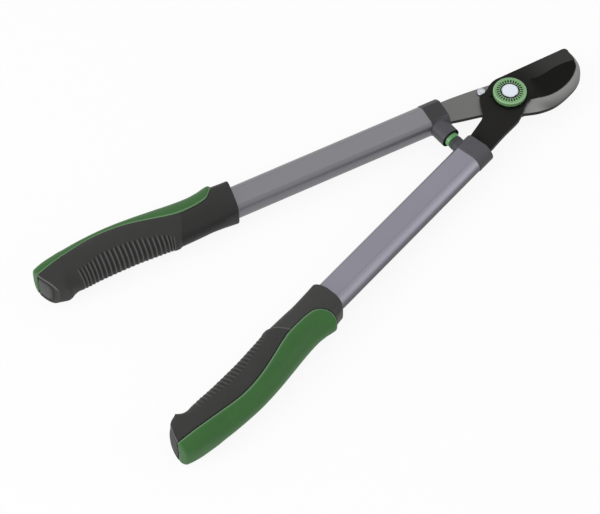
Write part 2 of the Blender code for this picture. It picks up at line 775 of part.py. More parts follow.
def build_cover(name, side, parent, material):
    body = [COVER_START + 2 * CLEARANCE] + tongue_stations() + [SHOULDER_PLACE] + back_stations()
    outer = cover_rows(COVER_PROUD, COVER_COLUMNS, [(s, 0, 1) for s in body] + butt_stations(0))
    inner = cover_rows(0, SADDLE_COLUMNS, [(s, COVER_LAYER, 1) for s in body] + butt_stations(COVER_LAYER))
    bm = sided_grip(shell_solid(outer, inner), side)
    return make_object(name, bm, material, parent)


def rib_groove(s, angle):
    place = (s - RIB_START) / RIB_PITCH
    if not 0 <= place <= RIB_COUNT:
        return 0.0
    across = abs(math.degrees(angle) - 180)
    reach = curve_value([(335, 44), (345, 60), (354, 67), (371, 78), (392, 80), (404, 76), (425, 66)], s)
    wave = 0.5 - 0.5 * math.cos(2 * math.pi * place)
    return RIB_DEPTH * wave * (1 - smooth_step(reach, reach + 12, across))


def pad_rows(ribbed, columns, stations):
    rows = []
    for s, inset, share in stations:
        limit = cover_angle(s) + 3 * edge_gap_angle(s, share)
        row = []
        for angle in angles_between(limit, 2 * math.pi - limit, columns):
            groove = rib_groove(s, angle) if ribbed else 0.0
            row.append(grip_point(s, angle, inset + groove, share))
        rows.append(row)
    return rows


def build_pad(name, side, parent, material):
    front = SHOULDER_PLACE + CLEARANCE
    ribs = [RIB_START + RIB_PITCH * (i / 2) for i in range(2 * RIB_COUNT + 1)]
    body = [front, front + 0.8, 325, 331] + ribs + [s for s in back_stations() if s > ribs[-1] + 1]
    lift = [(s, 0.6 if s == front else 0.0, 1) for s in body]
    outer = pad_rows(True, PAD_COLUMNS, lift + butt_stations(0))
    inner = pad_rows(False, PALM_COLUMNS, [(s, PAD_LAYER, 1) for s in body] + butt_stations(PAD_LAYER))
    bm = sided_grip(shell_solid(outer, inner), side)
    return make_object(name, bm, material, parent)


def core_row(saddle, palm):
    row = []
    for (s, inset, share), columns, start, end in (
            (saddle, SADDLE_COLUMNS, -1, 1), (palm, PALM_COLUMNS, 1, -1)):
        limit = cover_angle(s + CLEARANCE) + (2 if start > 0 else 0) * edge_gap_angle(s, share)
        first, last = start * limit, end * limit + (0 if start < 0 else 2 * math.pi)
        row += [grip_point(s, angle, inset, share) for angle in angles_between(first, last, columns)]
    return row


def build_core(name, side, parent, material):
    under_cover, under_pad = COVER_LAYER + CLEARANCE, PAD_LAYER + CLEARANCE
    collar = [(GRIP_START, 0.9), (GRIP_START + 0.9, 0), (276, 0), (COVER_START - 0.3, 0)]
    rows = [core_row((*place, 1), (*place, 1)) for place in collar]
    rows += [core_row((s, under_cover, 1), (s, SHOULDER_STEP * smooth_step(284, 300, s), 1))
             for s in [COVER_START, COVER_START + 2 * CLEARANCE] + tongue_stations() + [SHOULDER_PLACE - 0.4]]
    rows += [core_row((s, under_cover, 1), (s, under_pad, 1)) for s in [SHOULDER_PLACE] + back_stations()]
    rows += [core_row(*places) for places in zip(
        butt_stations(under_cover, BUTT_BUTTON), butt_stations(under_pad, BUTT_BUTTON))]
    button = (GRIP_END - CLEARANCE, BUTT_ROUNDING, BUTT_BUTTON)
    rows += [core_row(button, button)]
    core = make_object(name, sided_grip(loft(rows), side), material, parent)
    bore = bar(tube_section(CLEARANCE), GRIP_START - 2, TUBE_END + CLEARANCE)
    cut(core, tool_object(f"{name}_bore", bore, parent))
    return core


def build_handle(prefix, side, parent, head_frame, looks):
    build_tube(f"{prefix}_handle_tube", side, parent, looks["tube"])
    build_ferrule(f"{prefix}_ferrule", side, parent, head_frame, looks["ferrule"])
    build_insert(f"{prefix}_tang_insert", side, parent, looks["insert"])
    for number, along in enumerate(RIVET_PLACES, 1):
        build_rivet(f"{prefix}_tang_rivet_{number}", along, parent, looks["rivet"])
    build_core(f"{prefix}_grip_core", side, parent, looks["core"])
    build_pad(f"{prefix}_grip_pad", side, parent, looks["pad"])
    build_cover(f"{prefix}_grip_cover", side, parent, looks["cover"])


def handle_looks(prefix):
    return {
        "tube": make_material(f"{prefix}_tube_grey", (0.33, 0.33, 0.36), 0.35, 0.6),
        "ferrule": make_material(f"{prefix}_ferrule_slate", (0.09, 0.09, 0.11), 0.5),
        "insert": make_material(f"{prefix}_insert_black", (0.02, 0.02, 0.02), 0.6),
        "rivet": make_material(f"{prefix}_rivet_steel", (0.5, 0.5, 0.5), 0.35, 1.0),
        "core": make_material(f"{prefix}_core_black", (0.035, 0.036, 0.035), 0.5),
        "pad": make_material(f"{prefix}_pad_black", (0.035, 0.036, 0.035), 0.7),
        "cover": make_material(f"{prefix}_cover_green", (0.05, 0.22, 0.07), 0.5),
    }


def main():
    clear_scene()
    hook_frame = make_frame("hook_side", (0, 0, PIVOT_HEIGHT))
    blade_frame = make_frame("blade_side", (0, 0, PIVOT_HEIGHT))
    adjuster_frame = make_frame("adjuster", (0, 0, PIVOT_HEIGHT))
    offset = handle_point(0, 0, BLADE_SIDE)
    hook_handle = make_frame(
        "hook_handle", (offset[0], -offset[1], 0), 180 - HANDLE_HALF_ANGLE, hook_frame)
    blade_handle = make_frame(
        "blade_handle", (offset[0], offset[1], 0), 180 + HANDLE_HALF_ANGLE, blade_frame)

    build_blade(blade_frame, make_material("blade_black", (0.03, 0.03, 0.028), 0.45, 0.3))
    build_hook(hook_frame, make_material("hook_steel", (0.3, 0.3, 0.29), 0.35, 0.9))
    build_bolt(adjuster_frame, make_material("bolt_zinc", (0.8, 0.81, 0.83), 0.25, 1.0))
    build_disc(adjuster_frame, make_material("disc_green", (0.07, 0.35, 0.08), 0.4))
    build_washer(hook_frame, make_material("washer_zinc", (0.6, 0.6, 0.62), 0.35, 1.0))
    build_nut(hook_frame, make_material("nut_zinc", (0.6, 0.6, 0.62), 0.35, 1.0))
    build_stop_pin(hook_frame, make_material("pin_steel", (0.75, 0.75, 0.75), 0.3, 1.0))
    build_bumper(hook_frame, make_material("bumper_green", (0.08, 0.4, 0.1), 0.6))
    build_bumper_pad(blade_frame, make_material("bumper_pad_black", (0.03, 0.03, 0.03), 0.8))

    build_handle("hook", HOOK_SIDE, hook_handle, hook_frame, handle_looks("hook"))
    build_handle("blade", BLADE_SIDE, blade_handle, blade_frame, handle_looks("blade"))


main()
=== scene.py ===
import math

import bmesh
import bpy
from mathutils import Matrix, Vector


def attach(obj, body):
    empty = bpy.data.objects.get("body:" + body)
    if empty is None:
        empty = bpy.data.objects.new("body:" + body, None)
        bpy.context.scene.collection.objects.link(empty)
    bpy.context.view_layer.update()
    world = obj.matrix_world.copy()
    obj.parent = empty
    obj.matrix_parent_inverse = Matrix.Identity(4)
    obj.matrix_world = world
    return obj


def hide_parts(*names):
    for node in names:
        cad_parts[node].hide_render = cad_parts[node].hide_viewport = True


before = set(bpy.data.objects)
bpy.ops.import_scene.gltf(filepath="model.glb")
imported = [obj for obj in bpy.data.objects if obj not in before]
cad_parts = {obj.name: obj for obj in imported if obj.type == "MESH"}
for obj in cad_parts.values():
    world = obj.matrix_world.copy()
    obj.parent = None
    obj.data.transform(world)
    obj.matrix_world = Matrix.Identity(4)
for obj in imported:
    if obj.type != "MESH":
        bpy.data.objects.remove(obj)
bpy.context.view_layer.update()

print("stage: packed lopper loaded")

mm = 0.001
pivotHeight = 16.0  # pivot plane above the plane that the closed tool lies on
clearance = 0.3     # between neighbouring pieces
bladeSide, hookSide = 1, -1
handles = (("hook", hookSide), ("blade", bladeSide))
outlineSteps = 8    # between two points of a plate's outline
ringSteps = 96      # around the bolt, the nut and the washer

layout = {
    "halfAngle": 11.24,  # each handle away from the middle line, in degrees
    "offset": 13.6,      # handle axis away from the pivot
}
levels = {  # lowest and highest, from the pivot plane
    "hook": (-2.0, 2.0), "blade": (2.3, 6.3), "disc": (6.6, 11.6), "head": (8.1, 12.0),
    "washer": (-3.9, -2.3), "nut": (-12.2, -4.2), "boltEnd": -16.0,
}


def linear(color):
    return tuple(((c / 255 + 0.055) / 1.055) ** 2.4 if c > 10 else c / 255 / 12.92 for c in color) + (1.0,)


# Curves and outlines
def splineValue(a, b, c, d, t):
    return b + 0.5 * t * (c - a + t * (2 * a - 5 * b + 4 * c - d + t * (3 * (b - c) + d - a)))


def smoothPoints(points):
    ends = [points[0]] + list(points) + [points[-1]]
    result = []
    for a, b, c, d in zip(ends, ends[1:], ends[2:], ends[3:]):
        for i in range(outlineSteps):
            result.append(tuple(splineValue(a[k], b[k], c[k], d[k], i / outlineSteps) for k in range(2)))
    return result + [tuple(points[-1])]


def curveValue(table, x):
    if x <= table[0][0]:
        return table[0][1]
    if x >= table[-1][0]:
        return table[-1][1]
    i = next(k for k in range(len(table) - 1) if table[k + 1][0] >= x)
    (x0, y0), (x1, y1) = table[i], table[i + 1]
    before = table[i - 1][1] if i > 0 else y0
    after = table[i + 2][1] if i + 2 < len(table) else y1
    return splineValue(before, y0, y1, after, (x - x0) / (x1 - x0))


def smoothStep(low, high, x):  # high may lie below low
    t = min(max((x - low) / (high - low), 0.0), 1.0)
    return t * t * (3 - 2 * t)


def arcPoints(center, radius, start, end, steps):
    points = []
    for i in range(steps + 1):
        angle = math.radians(start + (end - start) * i / steps)
        points.append((center[0] + radius * math.cos(angle), center[1] + radius * math.sin(angle)))
    return points


def roundEdge(size, steps):  # distances from both faces along a quarter circle
    turns = [math.radians(90 * i / steps) for i in range(steps + 1)]
    return [(size * (1 - math.cos(turn)), size * (1 - math.sin(turn))) for turn in turns]


def handlePoint(along, out, side):
    angle = math.radians(layout["halfAngle"])
    out = out + layout["offset"]
    x = -along * math.cos(angle) + out * math.sin(angle)
    y = along * math.sin(angle) + out * math.cos(angle)
    return (x, -side * y)


# Mesh helpers, all in millimetres around the pivot
def bridgeRings(bm, ring, following):
    for i in range(len(ring)):
        j = (i + 1) % len(ring)
        bm.faces.new((ring[i], ring[j], following[j], following[i]))


def loftRings(rings, closed=True):
    bm = bmesh.new()
    rows = [[bm.verts.new(point) for point in ring] for ring in rings]
    for ring, following in zip(rows, rows[1:]):
        bridgeRings(bm, ring, following)
    if closed:
        bm.faces.new(rows[0][::-1])
        bm.faces.new(rows[-1])
    else:
        bridgeRings(bm, rows[-1], rows[0])
    return bm


def roundRings(profile, segments=ringSteps, center=(0, 0)):
    return [[(x, y, z) for x, y in arcPoints(center, radius, 0, 360, segments)[:-1]] for radius, z in profile]


def lathe(profile, segments, center=(0, 0), closed=True):
    return loftRings(roundRings(profile, segments, center), closed)


def rod(radius, low, high, segments, center=(0, 0)):
    return lathe([(radius, low), (radius, high)], segments, center)


def sleeve(sections, closed=True):  # outlines across the handle and their places along it
    return loftRings([[(s, y, z) for y, z in outline] for s, outline in sections], closed)


def zipRows(bm, first, second):
    i = j = 0
    while i < len(first) - 1 or j < len(second) - 1:
        if (i + 1) * (len(second) - 1) <= (j + 1) * (len(first) - 1):
            bm.faces.new((first[i], first[i + 1], second[j]))
            i += 1
        else:
            bm.faces.new((first[i], second[j + 1], second[j]))
            j += 1


def shellBody(outerRows, innerRows, marks):
    bm = bmesh.new()
    for name in marks:
        bm.verts.layers.float.new(name)
    outer = [[bm.verts.new(p) for p in row] for row in outerRows]
    for name, values in marks.items():
        layer = bm.verts.layers.float[name]
        for row, shares in zip(outer, values):
            for vert, share in zip(row, shares):
                vert[layer] = share
    inner = [[bm.verts.new(p) for p in row] for row in innerRows]
    for rows in (outer, inner):
        for row, following in zip(rows, rows[1:]):
            for i in range(len(row) - 1):
                bm.faces.new((row[i], row[i + 1], following[i + 1], following[i]))
    for end in (0, -1):
        zipRows(bm, outer[end], inner[end])
    for side in (0, -1):
        for k in range(len(outer) - 1):
            bm.faces.new((outer[k][side], outer[k + 1][side], inner[k + 1][side], inner[k][side]))
    return bm


def ontoHandle(bm, side):
    for vert in bm.verts:
        x, y = handlePoint(vert.co.x, vert.co.y, side)
        vert.co = (x, y, vert.co.z)
    return bm


def acrossHead(bm):
    for vert in bm.verts:
        vert.co = (bumper["x"] + vert.co.x, vert.co.z, vert.co.y)
    return bm


def addObject(name, data, place=(0, 0, 0)):
    obj = bpy.data.objects.new(name, data)
    obj.location = place
    bpy.context.scene.collection.objects.link(obj)
    return obj


def toObject(name, bm, sharpAngle):
    bmesh.ops.remove_doubles(bm, verts=bm.verts, dist=1e-4)
    bmesh.ops.recalc_face_normals(bm, faces=bm.faces)
    for vert in bm.verts:
        vert.co = Vector((vert.co.x, vert.co.y, vert.co.z + pivotHeight)) * mm
    mesh = bpy.data.meshes.new(name)
    bm.to_mesh(mesh)
    bm.free()
    mesh.shade_smooth()
    mesh.set_sharp_from_angle(angle=math.radians(sharpAngle))
    return addObject(name, mesh)


def makePiece(name, bm, materials, body, nodes, sharpAngle, cutters=(), joined=(), bevel=0.0):
    piece = toObject(name, bm, sharpAngle)
    for material in materials:
        piece.data.materials.append(material)
    helpers = []
    for operation, tools in (("UNION", joined), ("DIFFERENCE", cutters)):
        for tool in tools:
            helper = toObject(name + "Helper", tool, 35)
            modifier = piece.modifiers.new("shape", "BOOLEAN")
            modifier.operation, modifier.solver, modifier.object = operation, "EXACT", helper
            helpers.append(helper)
    if bevel:
        modifier = piece.modifiers.new("softEdges", "BEVEL")
        modifier.width, modifier.segments = bevel * mm, 3
        modifier.limit_method, modifier.angle_limit = "ANGLE", math.radians(sharpAngle)
        modifier.harden_normals, modifier.miter_outer = True, "MITER_ARC"
    if piece.modifiers:
        view = bpy.context.evaluated_depsgraph_get()
        mesh = bpy.data.meshes.new_from_object(
            piece.evaluated_get(view), preserve_all_data_layers=True, depsgraph=view)
        piece.modifiers.clear()
        piece.data = mesh
    for helper in helpers:
        bpy.data.objects.remove(helper, do_unlink=True)
    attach(piece, body)
    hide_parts(*nodes)


# Shader groups that the finishes share
def addNode(tree, kind, inputs=None, **settings):
    node = tree.nodes.new("ShaderNode" + kind)
    for key, value in settings.items():
        setattr(node, key, value)
    for key, value in (inputs or {}).items():
        if isinstance(value, bpy.types.NodeSocket):
            tree.links.new(value, node.inputs[key])
        else:
            node.inputs[key].default_value = value
    return node


def compute(tree, operation, first, second, clamp=False):
    return addNode(tree, "Math", {0: first, 1: second}, operation=operation, use_clamp=clamp).outputs[0]


def objectPlace(tree):
    return addNode(tree, "TexCoord").outputs["Object"]


def addNoise(tree, place, scale, detail, roughness=0.5):
    values = {"Vector": place, "Scale": scale, "Detail": detail, "Roughness": roughness}
    return addNode(tree, "TexNoise", values).outputs["Fac"]


def startGroup(name, output, **inputs):
    tree = bpy.data.node_groups.new(name, "ShaderNodeTree")
    for key, value in inputs.items():
        tree.interface.new_socket(name=key, in_out="INPUT", socket_type="NodeSocketFloat").default_value = value
    tree.interface.new_socket(name=output, in_out="OUTPUT", socket_type="NodeSocketFloat")
    return tree, tree.nodes.new("NodeGroupInput").outputs


def finishGroup(tree, result):
    tree.links.new(result, tree.nodes.new("NodeGroupOutput").inputs[0])


def buildFineGrain():
    tree, given = startGroup("fineGrain", "Height", Scale=1800.0, Pits=0.35)
    place = objectPlace(tree)
    noise = addNoise(tree, place, given["Scale"], 3.0, 0.55)
    cells = addNode(tree, "TexVoronoi", {"Vector": place, "Scale": given["Scale"], "Smoothness": 0.6},
                    feature="SMOOTH_F1")
    pits = compute(tree, "MULTIPLY", cells.outputs["Distance"], given["Pits"])
    finishGroup(tree, compute(tree, "SUBTRACT", noise, pits))


def buildSoftMottle():
    tree, given = startGroup("softMottle", "Value", Scale=40.0, Contrast=1.0)
    broad = addNoise(tree, objectPlace(tree), given["Scale"], 5.0, 0.62)
    scaled = compute(tree, "MULTIPLY", compute(tree, "SUBTRACT", broad, 0.5), given["Contrast"])
    finishGroup(tree, compute(tree, "ADD", scaled, 0.5, clamp=True))


def buildBrushedLines():
    tree, given = startGroup("brushedLines", "Value", Turn=0.0, Along=30.0, Across=2500.0)
    turned = addNode(tree, "VectorRotate", {"Vector": objectPlace(tree), "Angle": given["Turn"]},
                     rotation_type="Z_AXIS")
    stretch = addNode(tree, "CombineXYZ", {"X": given["Along"], "Y": given["Across"], "Z": given["Across"]})
    laid = addNode(tree, "VectorMath", {0: turned.outputs[0], 1: stretch.outputs[0]}, operation="MULTIPLY")
    finishGroup(tree, addNoise(tree, laid.outputs[0], 1.0, 4.0, 0.6))


# Edge mask for each finish's edge colour: partly edge wear, mostly painted highlight along rounded edges, and painted
# shade as a dark crease line on the tubes
def buildEdgeWearAndPaintedLight():
    tree, given = startGroup("edgeWearAndPaintedLight", "Mask", Radius=0.001, Breakup=400.0, Reach=0.12)
    rounded = addNode(tree, "Bevel", {"Radius": given["Radius"]}, samples=8).outputs["Normal"]
    plain = addNode(tree, "NewGeometry").outputs["Normal"]
    facing = addNode(tree, "VectorMath", {0: rounded, 1: plain}, operation="DOT_PRODUCT").outputs["Value"]
    share = compute(tree, "DIVIDE", compute(tree, "SUBTRACT", 1.0, facing), given["Reach"], clamp=True)
    noise = addNoise(tree, objectPlace(tree), given["Breakup"], 4.0)
    broken = addNode(tree, "MapRange", {0: noise, 1: 0.3, 2: 0.7, 3: 0.45, 4: 1.0}).outputs[0]
    finishGroup(tree, compute(tree, "MULTIPLY", share, broken, clamp=True))


for build in (buildFineGrain, buildSoftMottle, buildBrushedLines, buildEdgeWearAndPaintedLight):
    build()
print("stage: shader groups made")


def placeGroup(tree, name, **values):
    node = tree.nodes.new("ShaderNodeGroup")
    node.node_tree = bpy.data.node_groups[name]
    for key, value in values.items():
        node.inputs[key].default_value = value
    return node.outputs[0]


def startMaterial(name):
    material = bpy.data.materials.new(name)
    material.use_nodes = True
    tree = material.node_tree
    return material, tree, tree.nodes["Principled BSDF"]


def mixColors(tree, share, first, second):  # sockets 6, 7 and 2 are the colour ones
    first, second = (linear(value) if isinstance(value, tuple) else value for value in (first, second))
    return addNode(tree, "Mix", {0: share, 6: first, 7: second}, data_type="RGBA").outputs[2]


def remap(tree, value, low, high):
    return addNode(tree, "MapRange", {0: value, 3: low, 4: high}).outputs[0]


def fadePaintedLight(tree, base, look):  # painted light and shade: each tone comes in over a span along an axis or around a middle
    for origin, start, end, color in look.get("paintedLightTones", ()):
        place = objectPlace(tree)
        if isinstance(origin, str):
            reach = addNode(tree, "SeparateXYZ", {0: place}).outputs[origin]
        else:
            middle = tuple(value * mm for value in origin)
            reach = addNode(tree, "VectorMath", {0: place, 1: middle}, operation="DISTANCE").outputs["Value"]
        share = addNode(tree, "MapRange", {0: reach, 1: start * mm, 2: end * mm}, interpolation_type="SMOOTHSTEP")
        base = mixColors(tree, share.outputs[0], base, color)
    return base


def finishSurface(tree, shader, look, base, breakup, pattern, spread, height):
    # edge colour: partly wear, mostly painted highlight, and painted shade along the tube creases
    edgeShare = placeGroup(tree, "edgeWearAndPaintedLight", Radius=look["edgeRadius"] * mm, Breakup=breakup, Reach=look["edgeReach"])
    rough = remap(tree, pattern, look["rough"] - spread, look["rough"] + spread)
    bump = addNode(tree, "Bump", {"Height": height, "Distance": look["depth"] * mm})
    tree.links.new(mixColors(tree, edgeShare, base, look["edgeColor"]), shader.inputs["Base Color"])
    tree.links.new(rough, shader.inputs["Roughness"])
    tree.links.new(bump.outputs["Normal"], shader.inputs["Normal"])


def mouldedPlastic(name, look, pits=0.35, contrast=1.6, breakup=300.0, spread=0.06):
    material, tree, shader = startMaterial(name)
    mottle = placeGroup(tree, "softMottle", Scale=look["mottleScale"], Contrast=contrast)
    grain = specks = placeGroup(tree, "fineGrain", Scale=look["grainScale"], Pits=pits)
    if "turn" in look:
        specks = placeGroup(tree, "brushedLines", Turn=math.radians(look["turn"]), Along=60.0, Across=1400.0)
    base = fadePaintedLight(tree, mixColors(tree, mottle, look["shade"], look["color"]), look)
    for mark, color in look.get("marks", {}).items():
        base = mixColors(tree, addNode(tree, "Attribute", attribute_name=mark).outputs["Fac"], base, color)
    speckled = mixColors(tree, remap(tree, specks, 0.0, look["speckle"]), base, look["edgeColor"])
    shader.inputs["Specular IOR Level"].default_value = look["specular"]
    finishSurface(tree, shader, look, speckled, breakup, mottle, spread, grain)
    return material


def satinMetal(name, look):
    material, tree, shader = startMaterial(name)
    lines = placeGroup(
        tree, "brushedLines", Turn=math.radians(look["turn"]), Along=look["along"], Across=look["across"])
    mottle = placeGroup(tree, "softMottle", Scale=look["mottleScale"], Contrast=1.5)
    brushed = mixColors(tree, lines, look["shade"], look["color"])
    clouded = mixColors(tree, remap(tree, mottle, 0.0, look["cloud"]), brushed, look["cloudColor"])
    shader.inputs["Metallic"].default_value = look["metallic"]
    finishSurface(tree, shader, look, fadePaintedLight(tree, clouded, look), 500.0, lines, 0.07, lines)
    return material


# Camera, floor and light
studio = {
    "cameraPlace": (-1.11126, -1.11631, 2.04468),
    "cameraTurn": (34.5262, 0.5874, -38.8171),
    "lens": 171.862, "sensor": 36.0, "viewEnd": 30.0,
    "worldLight": 0.7, "lampTarget": (-0.2, 0.0, 0.0),
    "floorColor": (0.92, 0.92, 0.92, 1.0), "floorSize": 4.0, "floorDrop": 0.0005,
    "floorGlow": 0.9,  # share of the floor that camera and mirror rays see as plain white
}
lamps = {
    "overBack": {"place": (1, 1.1, 2), "size": (1.6, 1.2), "power": 2.5},
    "rightLow": {"place": (1.4, -1.6, 0.9), "size": (0.8, 1.1), "power": 6.0},
    "leftKey": {"place": (-2.2, 0.3, 0.75), "size": (1.2, 0.9), "power": 24.0},
}


def buildCamera():
    data = bpy.data.cameras.new("photoCamera")
    camera = addObject("photoCamera", data, studio["cameraPlace"])
    camera.rotation_euler = [math.radians(angle) for angle in studio["cameraTurn"]]
    data.lens, data.sensor_width, data.sensor_fit = studio["lens"], studio["sensor"], "HORIZONTAL"
    data.clip_end = studio["viewEnd"]
    bpy.context.scene.camera = camera


def seenDirectly(tree):
    path = addNode(tree, "LightPath").outputs
    direct = compute(tree, "MAXIMUM", path["Is Camera Ray"], path["Is Glossy Ray"])
    return compute(tree, "MAXIMUM", direct, path["Is Transmission Ray"])


def buildFloor():
    bm = bmesh.new()
    bmesh.ops.create_grid(bm, x_segments=8, y_segments=8, size=studio["floorSize"])
    mesh = bpy.data.meshes.new("studioFloor")
    bm.to_mesh(mesh)
    bm.free()
    floor = addObject("studioFloor", mesh, (0, 0, -studio["floorDrop"]))
    material, tree, shader = startMaterial("paleFloor")
    tree.nodes.remove(shader)
    matt = addNode(tree, "BsdfDiffuse", {"Color": studio["floorColor"]})
    glow = addNode(tree, "Emission", {"Color": (1, 1, 1, 1), "Strength": 1.0})
    share = compute(tree, "MULTIPLY", seenDirectly(tree), studio["floorGlow"])
    mixed = addNode(tree, "MixShader", {0: share, 1: matt.outputs[0], 2: glow.outputs[0]})
    tree.links.new(mixed.outputs[0], tree.nodes["Material Output"].inputs["Surface"])
    mesh.materials.append(material)


def buildWorld():
    world = bpy.data.worlds.new("softStudio")
    bpy.context.scene.world = world
    world.use_nodes = True
    tree = world.node_tree
    background = tree.nodes["Background"]
    background.inputs["Color"].default_value = (1, 1, 1, 1)
    strength = remap(tree, seenDirectly(tree), studio["worldLight"], 1.0)
    tree.links.new(strength, background.inputs["Strength"])


def buildLamps():
    for name, lamp in lamps.items():
        data = bpy.data.lights.new(name, "AREA")
        data.shape, (data.size, data.size_y) = "RECTANGLE", lamp["size"]
        data.energy = lamp["power"]
        obj = addObject(name, data, lamp["place"])
        obj.rotation_euler = (Vector(studio["lampTarget"]) - obj.location).to_track_quat("-Z", "Y").to_euler()


bpy.context.scene.view_settings.view_transform = "Standard"
for build in (buildCamera, buildFloor, buildWorld, buildLamps):
    build()
print("stage: camera, floor and lamps placed")

# Grips: distances from the handle's axis, along the handle
grip = {
    "start": 269, "end": 460.5, "side": hookSide, "collarRounding": 1.3,
    "coverLayer": 2.3, "coverProud": 0.6, "coverLip": 2.1, "lipDepth": 1.15, "coverRounding": 1.6,
    # lipFull ends the painted highlight on the cover lips; coverEndDark is painted shade on the cover's end face
    "lipFull": 0.85, "coverEndDark": 0.5,
    "padLayer": 1.4, "padLip": 0.8, "coreLip": 0.7, "coreColumns": 20,
    "coverArc": 18, "padArc": 17,  # mean radius that turns an angle into a length
    "shoulder": 318, "slant": 0.47, "spread": 14, "shoulderTop": 2.4, "shoulderStep": 0.9,
    "lagSpan": (418, 432), "knobSpan": (434, 446), "stepSpan": (284, 300), "frontReach": 16,
    "outer": [(269, 18), (276, 18.9), (281, 19.9), (285, 22), (289, 21.8), (295, 20.6), (305, 19.5),
              (320, 20), (340, 21.8), (362, 23.7), (382, 24.4), (398, 23.7), (415, 22.1), (432, 19.6),
              (442, 17.2), (448, 15.8), (455, 13.4), (461, 10.8)],
    "inner": [(269, 16.9), (285, 17.4), (296, 18.4), (306, 19.2), (326, 19.8), (334, 19), (348, 18.3),
              (370, 17.4), (400, 17.7), (410, 18.2), (418, 18.7), (425, 18.7), (431, 18.2), (436, 18.9),
              (440, 20.6), (443, 22.3), (447, 23.3), (451, 22.9), (461, 20.4)],
    "height": [(269, 13.8), (285, 14.6), (305, 15.4), (330, 16), (360, 16), (400, 16), (430, 16),
               (445, 15.8), (461, 15)],
    "roundness": [(269, 4.2), (276, 3.4), (286, 2.6), (296, 2.25), (320, 2.15), (425, 2.15), (445, 2.7), (461, 3)],
    "ribReach": [(331, 36), (342, 50), (354, 56), (371, 65), (392, 67), (404, 63), (425, 54)],
    hookSide: {
        "coverStart": 279.4, "front": (-0.15, 0, 0),  # slant, bow and shift of the collar
        "shift": -4.3, "knob": -1.7, "knobLag": 0, "ribDepth": 0.6, "ribContrast": 0.95,
        # rampLight, capLight and lipLight are shares of painted highlight
        "rampLight": 0.05, "capLight": 0.35, "lipLight": 0.4,
        "coverEdge": [
            (279.4, 21), (280.4, 19.4), (284.6, 14), (288.6, 9.4), (292, 6.4), (296, 5), (304, 3.4),
            (318, 2.6), (328, 3.8), (345, 8.4), (362, 13.4), (375, 15.8), (388, 16.6), (400, 15.8),
            (415, 13), (430, 9.6), (445, 5.6), (461, 1.6)],
    },
    bladeSide: {
        "coverStart": 282.6, "front": (0, 0.013, -2),
        "shift": 3.8, "knob": 0, "knobLag": 3.6, "ribDepth": 0.35, "ribContrast": 0.5,
        # painted highlight shares, as on the hook side
        "rampLight": 0.7, "capLight": 0, "lipLight": 0.22,
        "coverEdge": [
            (282.6, 20.9), (283, 17), (284.2, 11.6), (287.6, 6), (292.6, 2.6), (302, 1.2), (318, 1),
            (328, 2), (345, 5.6), (362, 9), (375, 10.8), (388, 11.4), (400, 10.6), (415, 8.2),
            (430, 5.4), (445, 2.8), (461, 0.6)],
    },
}
ribs = {"start": 330.0, "pitch": 4.31, "count": 22, "fade": 6.0, "steps": 12, "narrow": 1.3, "crest": 4.5}
butt = {
    "apex": 8.0, "bend": 0.012, "reach": 60.0, "flat": 14.5, "corner": 0.10, "cornerReach": 15.0,
    "lean": 2.8, "leanSpan": (-8, 12), "tuck": 1.4, "tuckSpan": (4, -12), "leanAcross": (4, -18),
    # grooveDark is painted shade in the butt groove; beadLight and beadSpan paint a highlight along the bead
    "rounding": 1.2, "bead": 0.6, "groove": 2.6, "grooveDepth": 0.7, "grooveDark": 0.6, "eye": 0.14,
    "beadLight": (1.3, 1.1), "beadSpan": (0.28, 0.42), "coreFace": 2.8,
}
gripShapes = {}


def own(key):  # a value of the grip that is being made
    return grip[grip["side"]][key]


def gripShape(s):
    key = (s, grip["side"])
    if key not in gripShapes:
        outer = curveValue(grip["outer"], s)
        inner = curveValue(grip["inner"], s - own("knobLag") * smoothStep(*grip["lagSpan"], s))
        inner += own("knob") * smoothStep(*grip["knobSpan"], s)
        gripShapes[key] = ((outer - inner) / 2, (outer + inner) / 2, curveValue(grip["height"], s),
                           curveValue(own("coverEdge"), s), curveValue(grip["roundness"], s))
    return gripShapes[key]


def gripSurface(s, angle, inset, share):
    center, width, height, edge, roundness = gripShape(s)
    power, end = 2 / roundness, grip["end"]
    cosine, sine = math.cos(angle), math.sin(angle)
    y = center + (width - inset) * math.copysign(abs(cosine) ** power, cosine)
    y += (1 - share) * (edge - y)
    z = share * (height - inset) * math.copysign(abs(sine) ** power, sine)
    z = max(z, max(inset, 0.0) - pivotHeight)
    atEnd = smoothStep(end - butt["cornerReach"], end, s)
    shoulder = grip["slant"] * math.exp(-((s - grip["shoulder"]) / grip["spread"]) ** 2)
    bow = butt["bend"] * (y - butt["apex"]) ** 2 * smoothStep(end - butt["reach"], end, s)
    corner = butt["corner"] * max(abs(y) - butt["flat"], 0.0) ** 2 * atEnd
    lean = butt["lean"] * smoothStep(*butt["leanSpan"], z) + butt["tuck"] * smoothStep(*butt["tuckSpan"], z)
    lean *= smoothStep(*butt["leanAcross"], y) * atEnd
    return (s + shoulder * max(grip["shoulderTop"] - y, 0.0) - bow - corner - lean, y, z)


def coverAngle(s):
    center, width, _, edge, roundness = gripShape(max(s, own("coverStart") + clearance))
    ratio = min((edge - center) / width, 0.998)  # 1 would be a cover of no width
    return math.acos(math.copysign(abs(ratio) ** (roundness / 2), ratio))


def seamAngle(s, share):
    return clearance / 2 / (share * gripShape(s)[2])


def makeGripPiece(prefix, kind, bm, material, sharpAngle):
    start, end = grip["start"], grip["end"]
    slant, bow, shift = own("front")
    for vert in bm.verts:
        x, y = vert.co.x, vert.co.y
        front = 1 - smoothStep(start, start + grip["frontReach"], x)
        back = smoothStep(end - butt["reach"], end, x)
        vert.co.x += front * (slant * y + bow * y * y + shift) + own("shift") * back
    makePiece(prefix + "Grip" + kind.capitalize(), ontoHandle(bm, grip["side"]), [material], prefix + "_side",
              [prefix + "_grip_" + kind], sharpAngle)


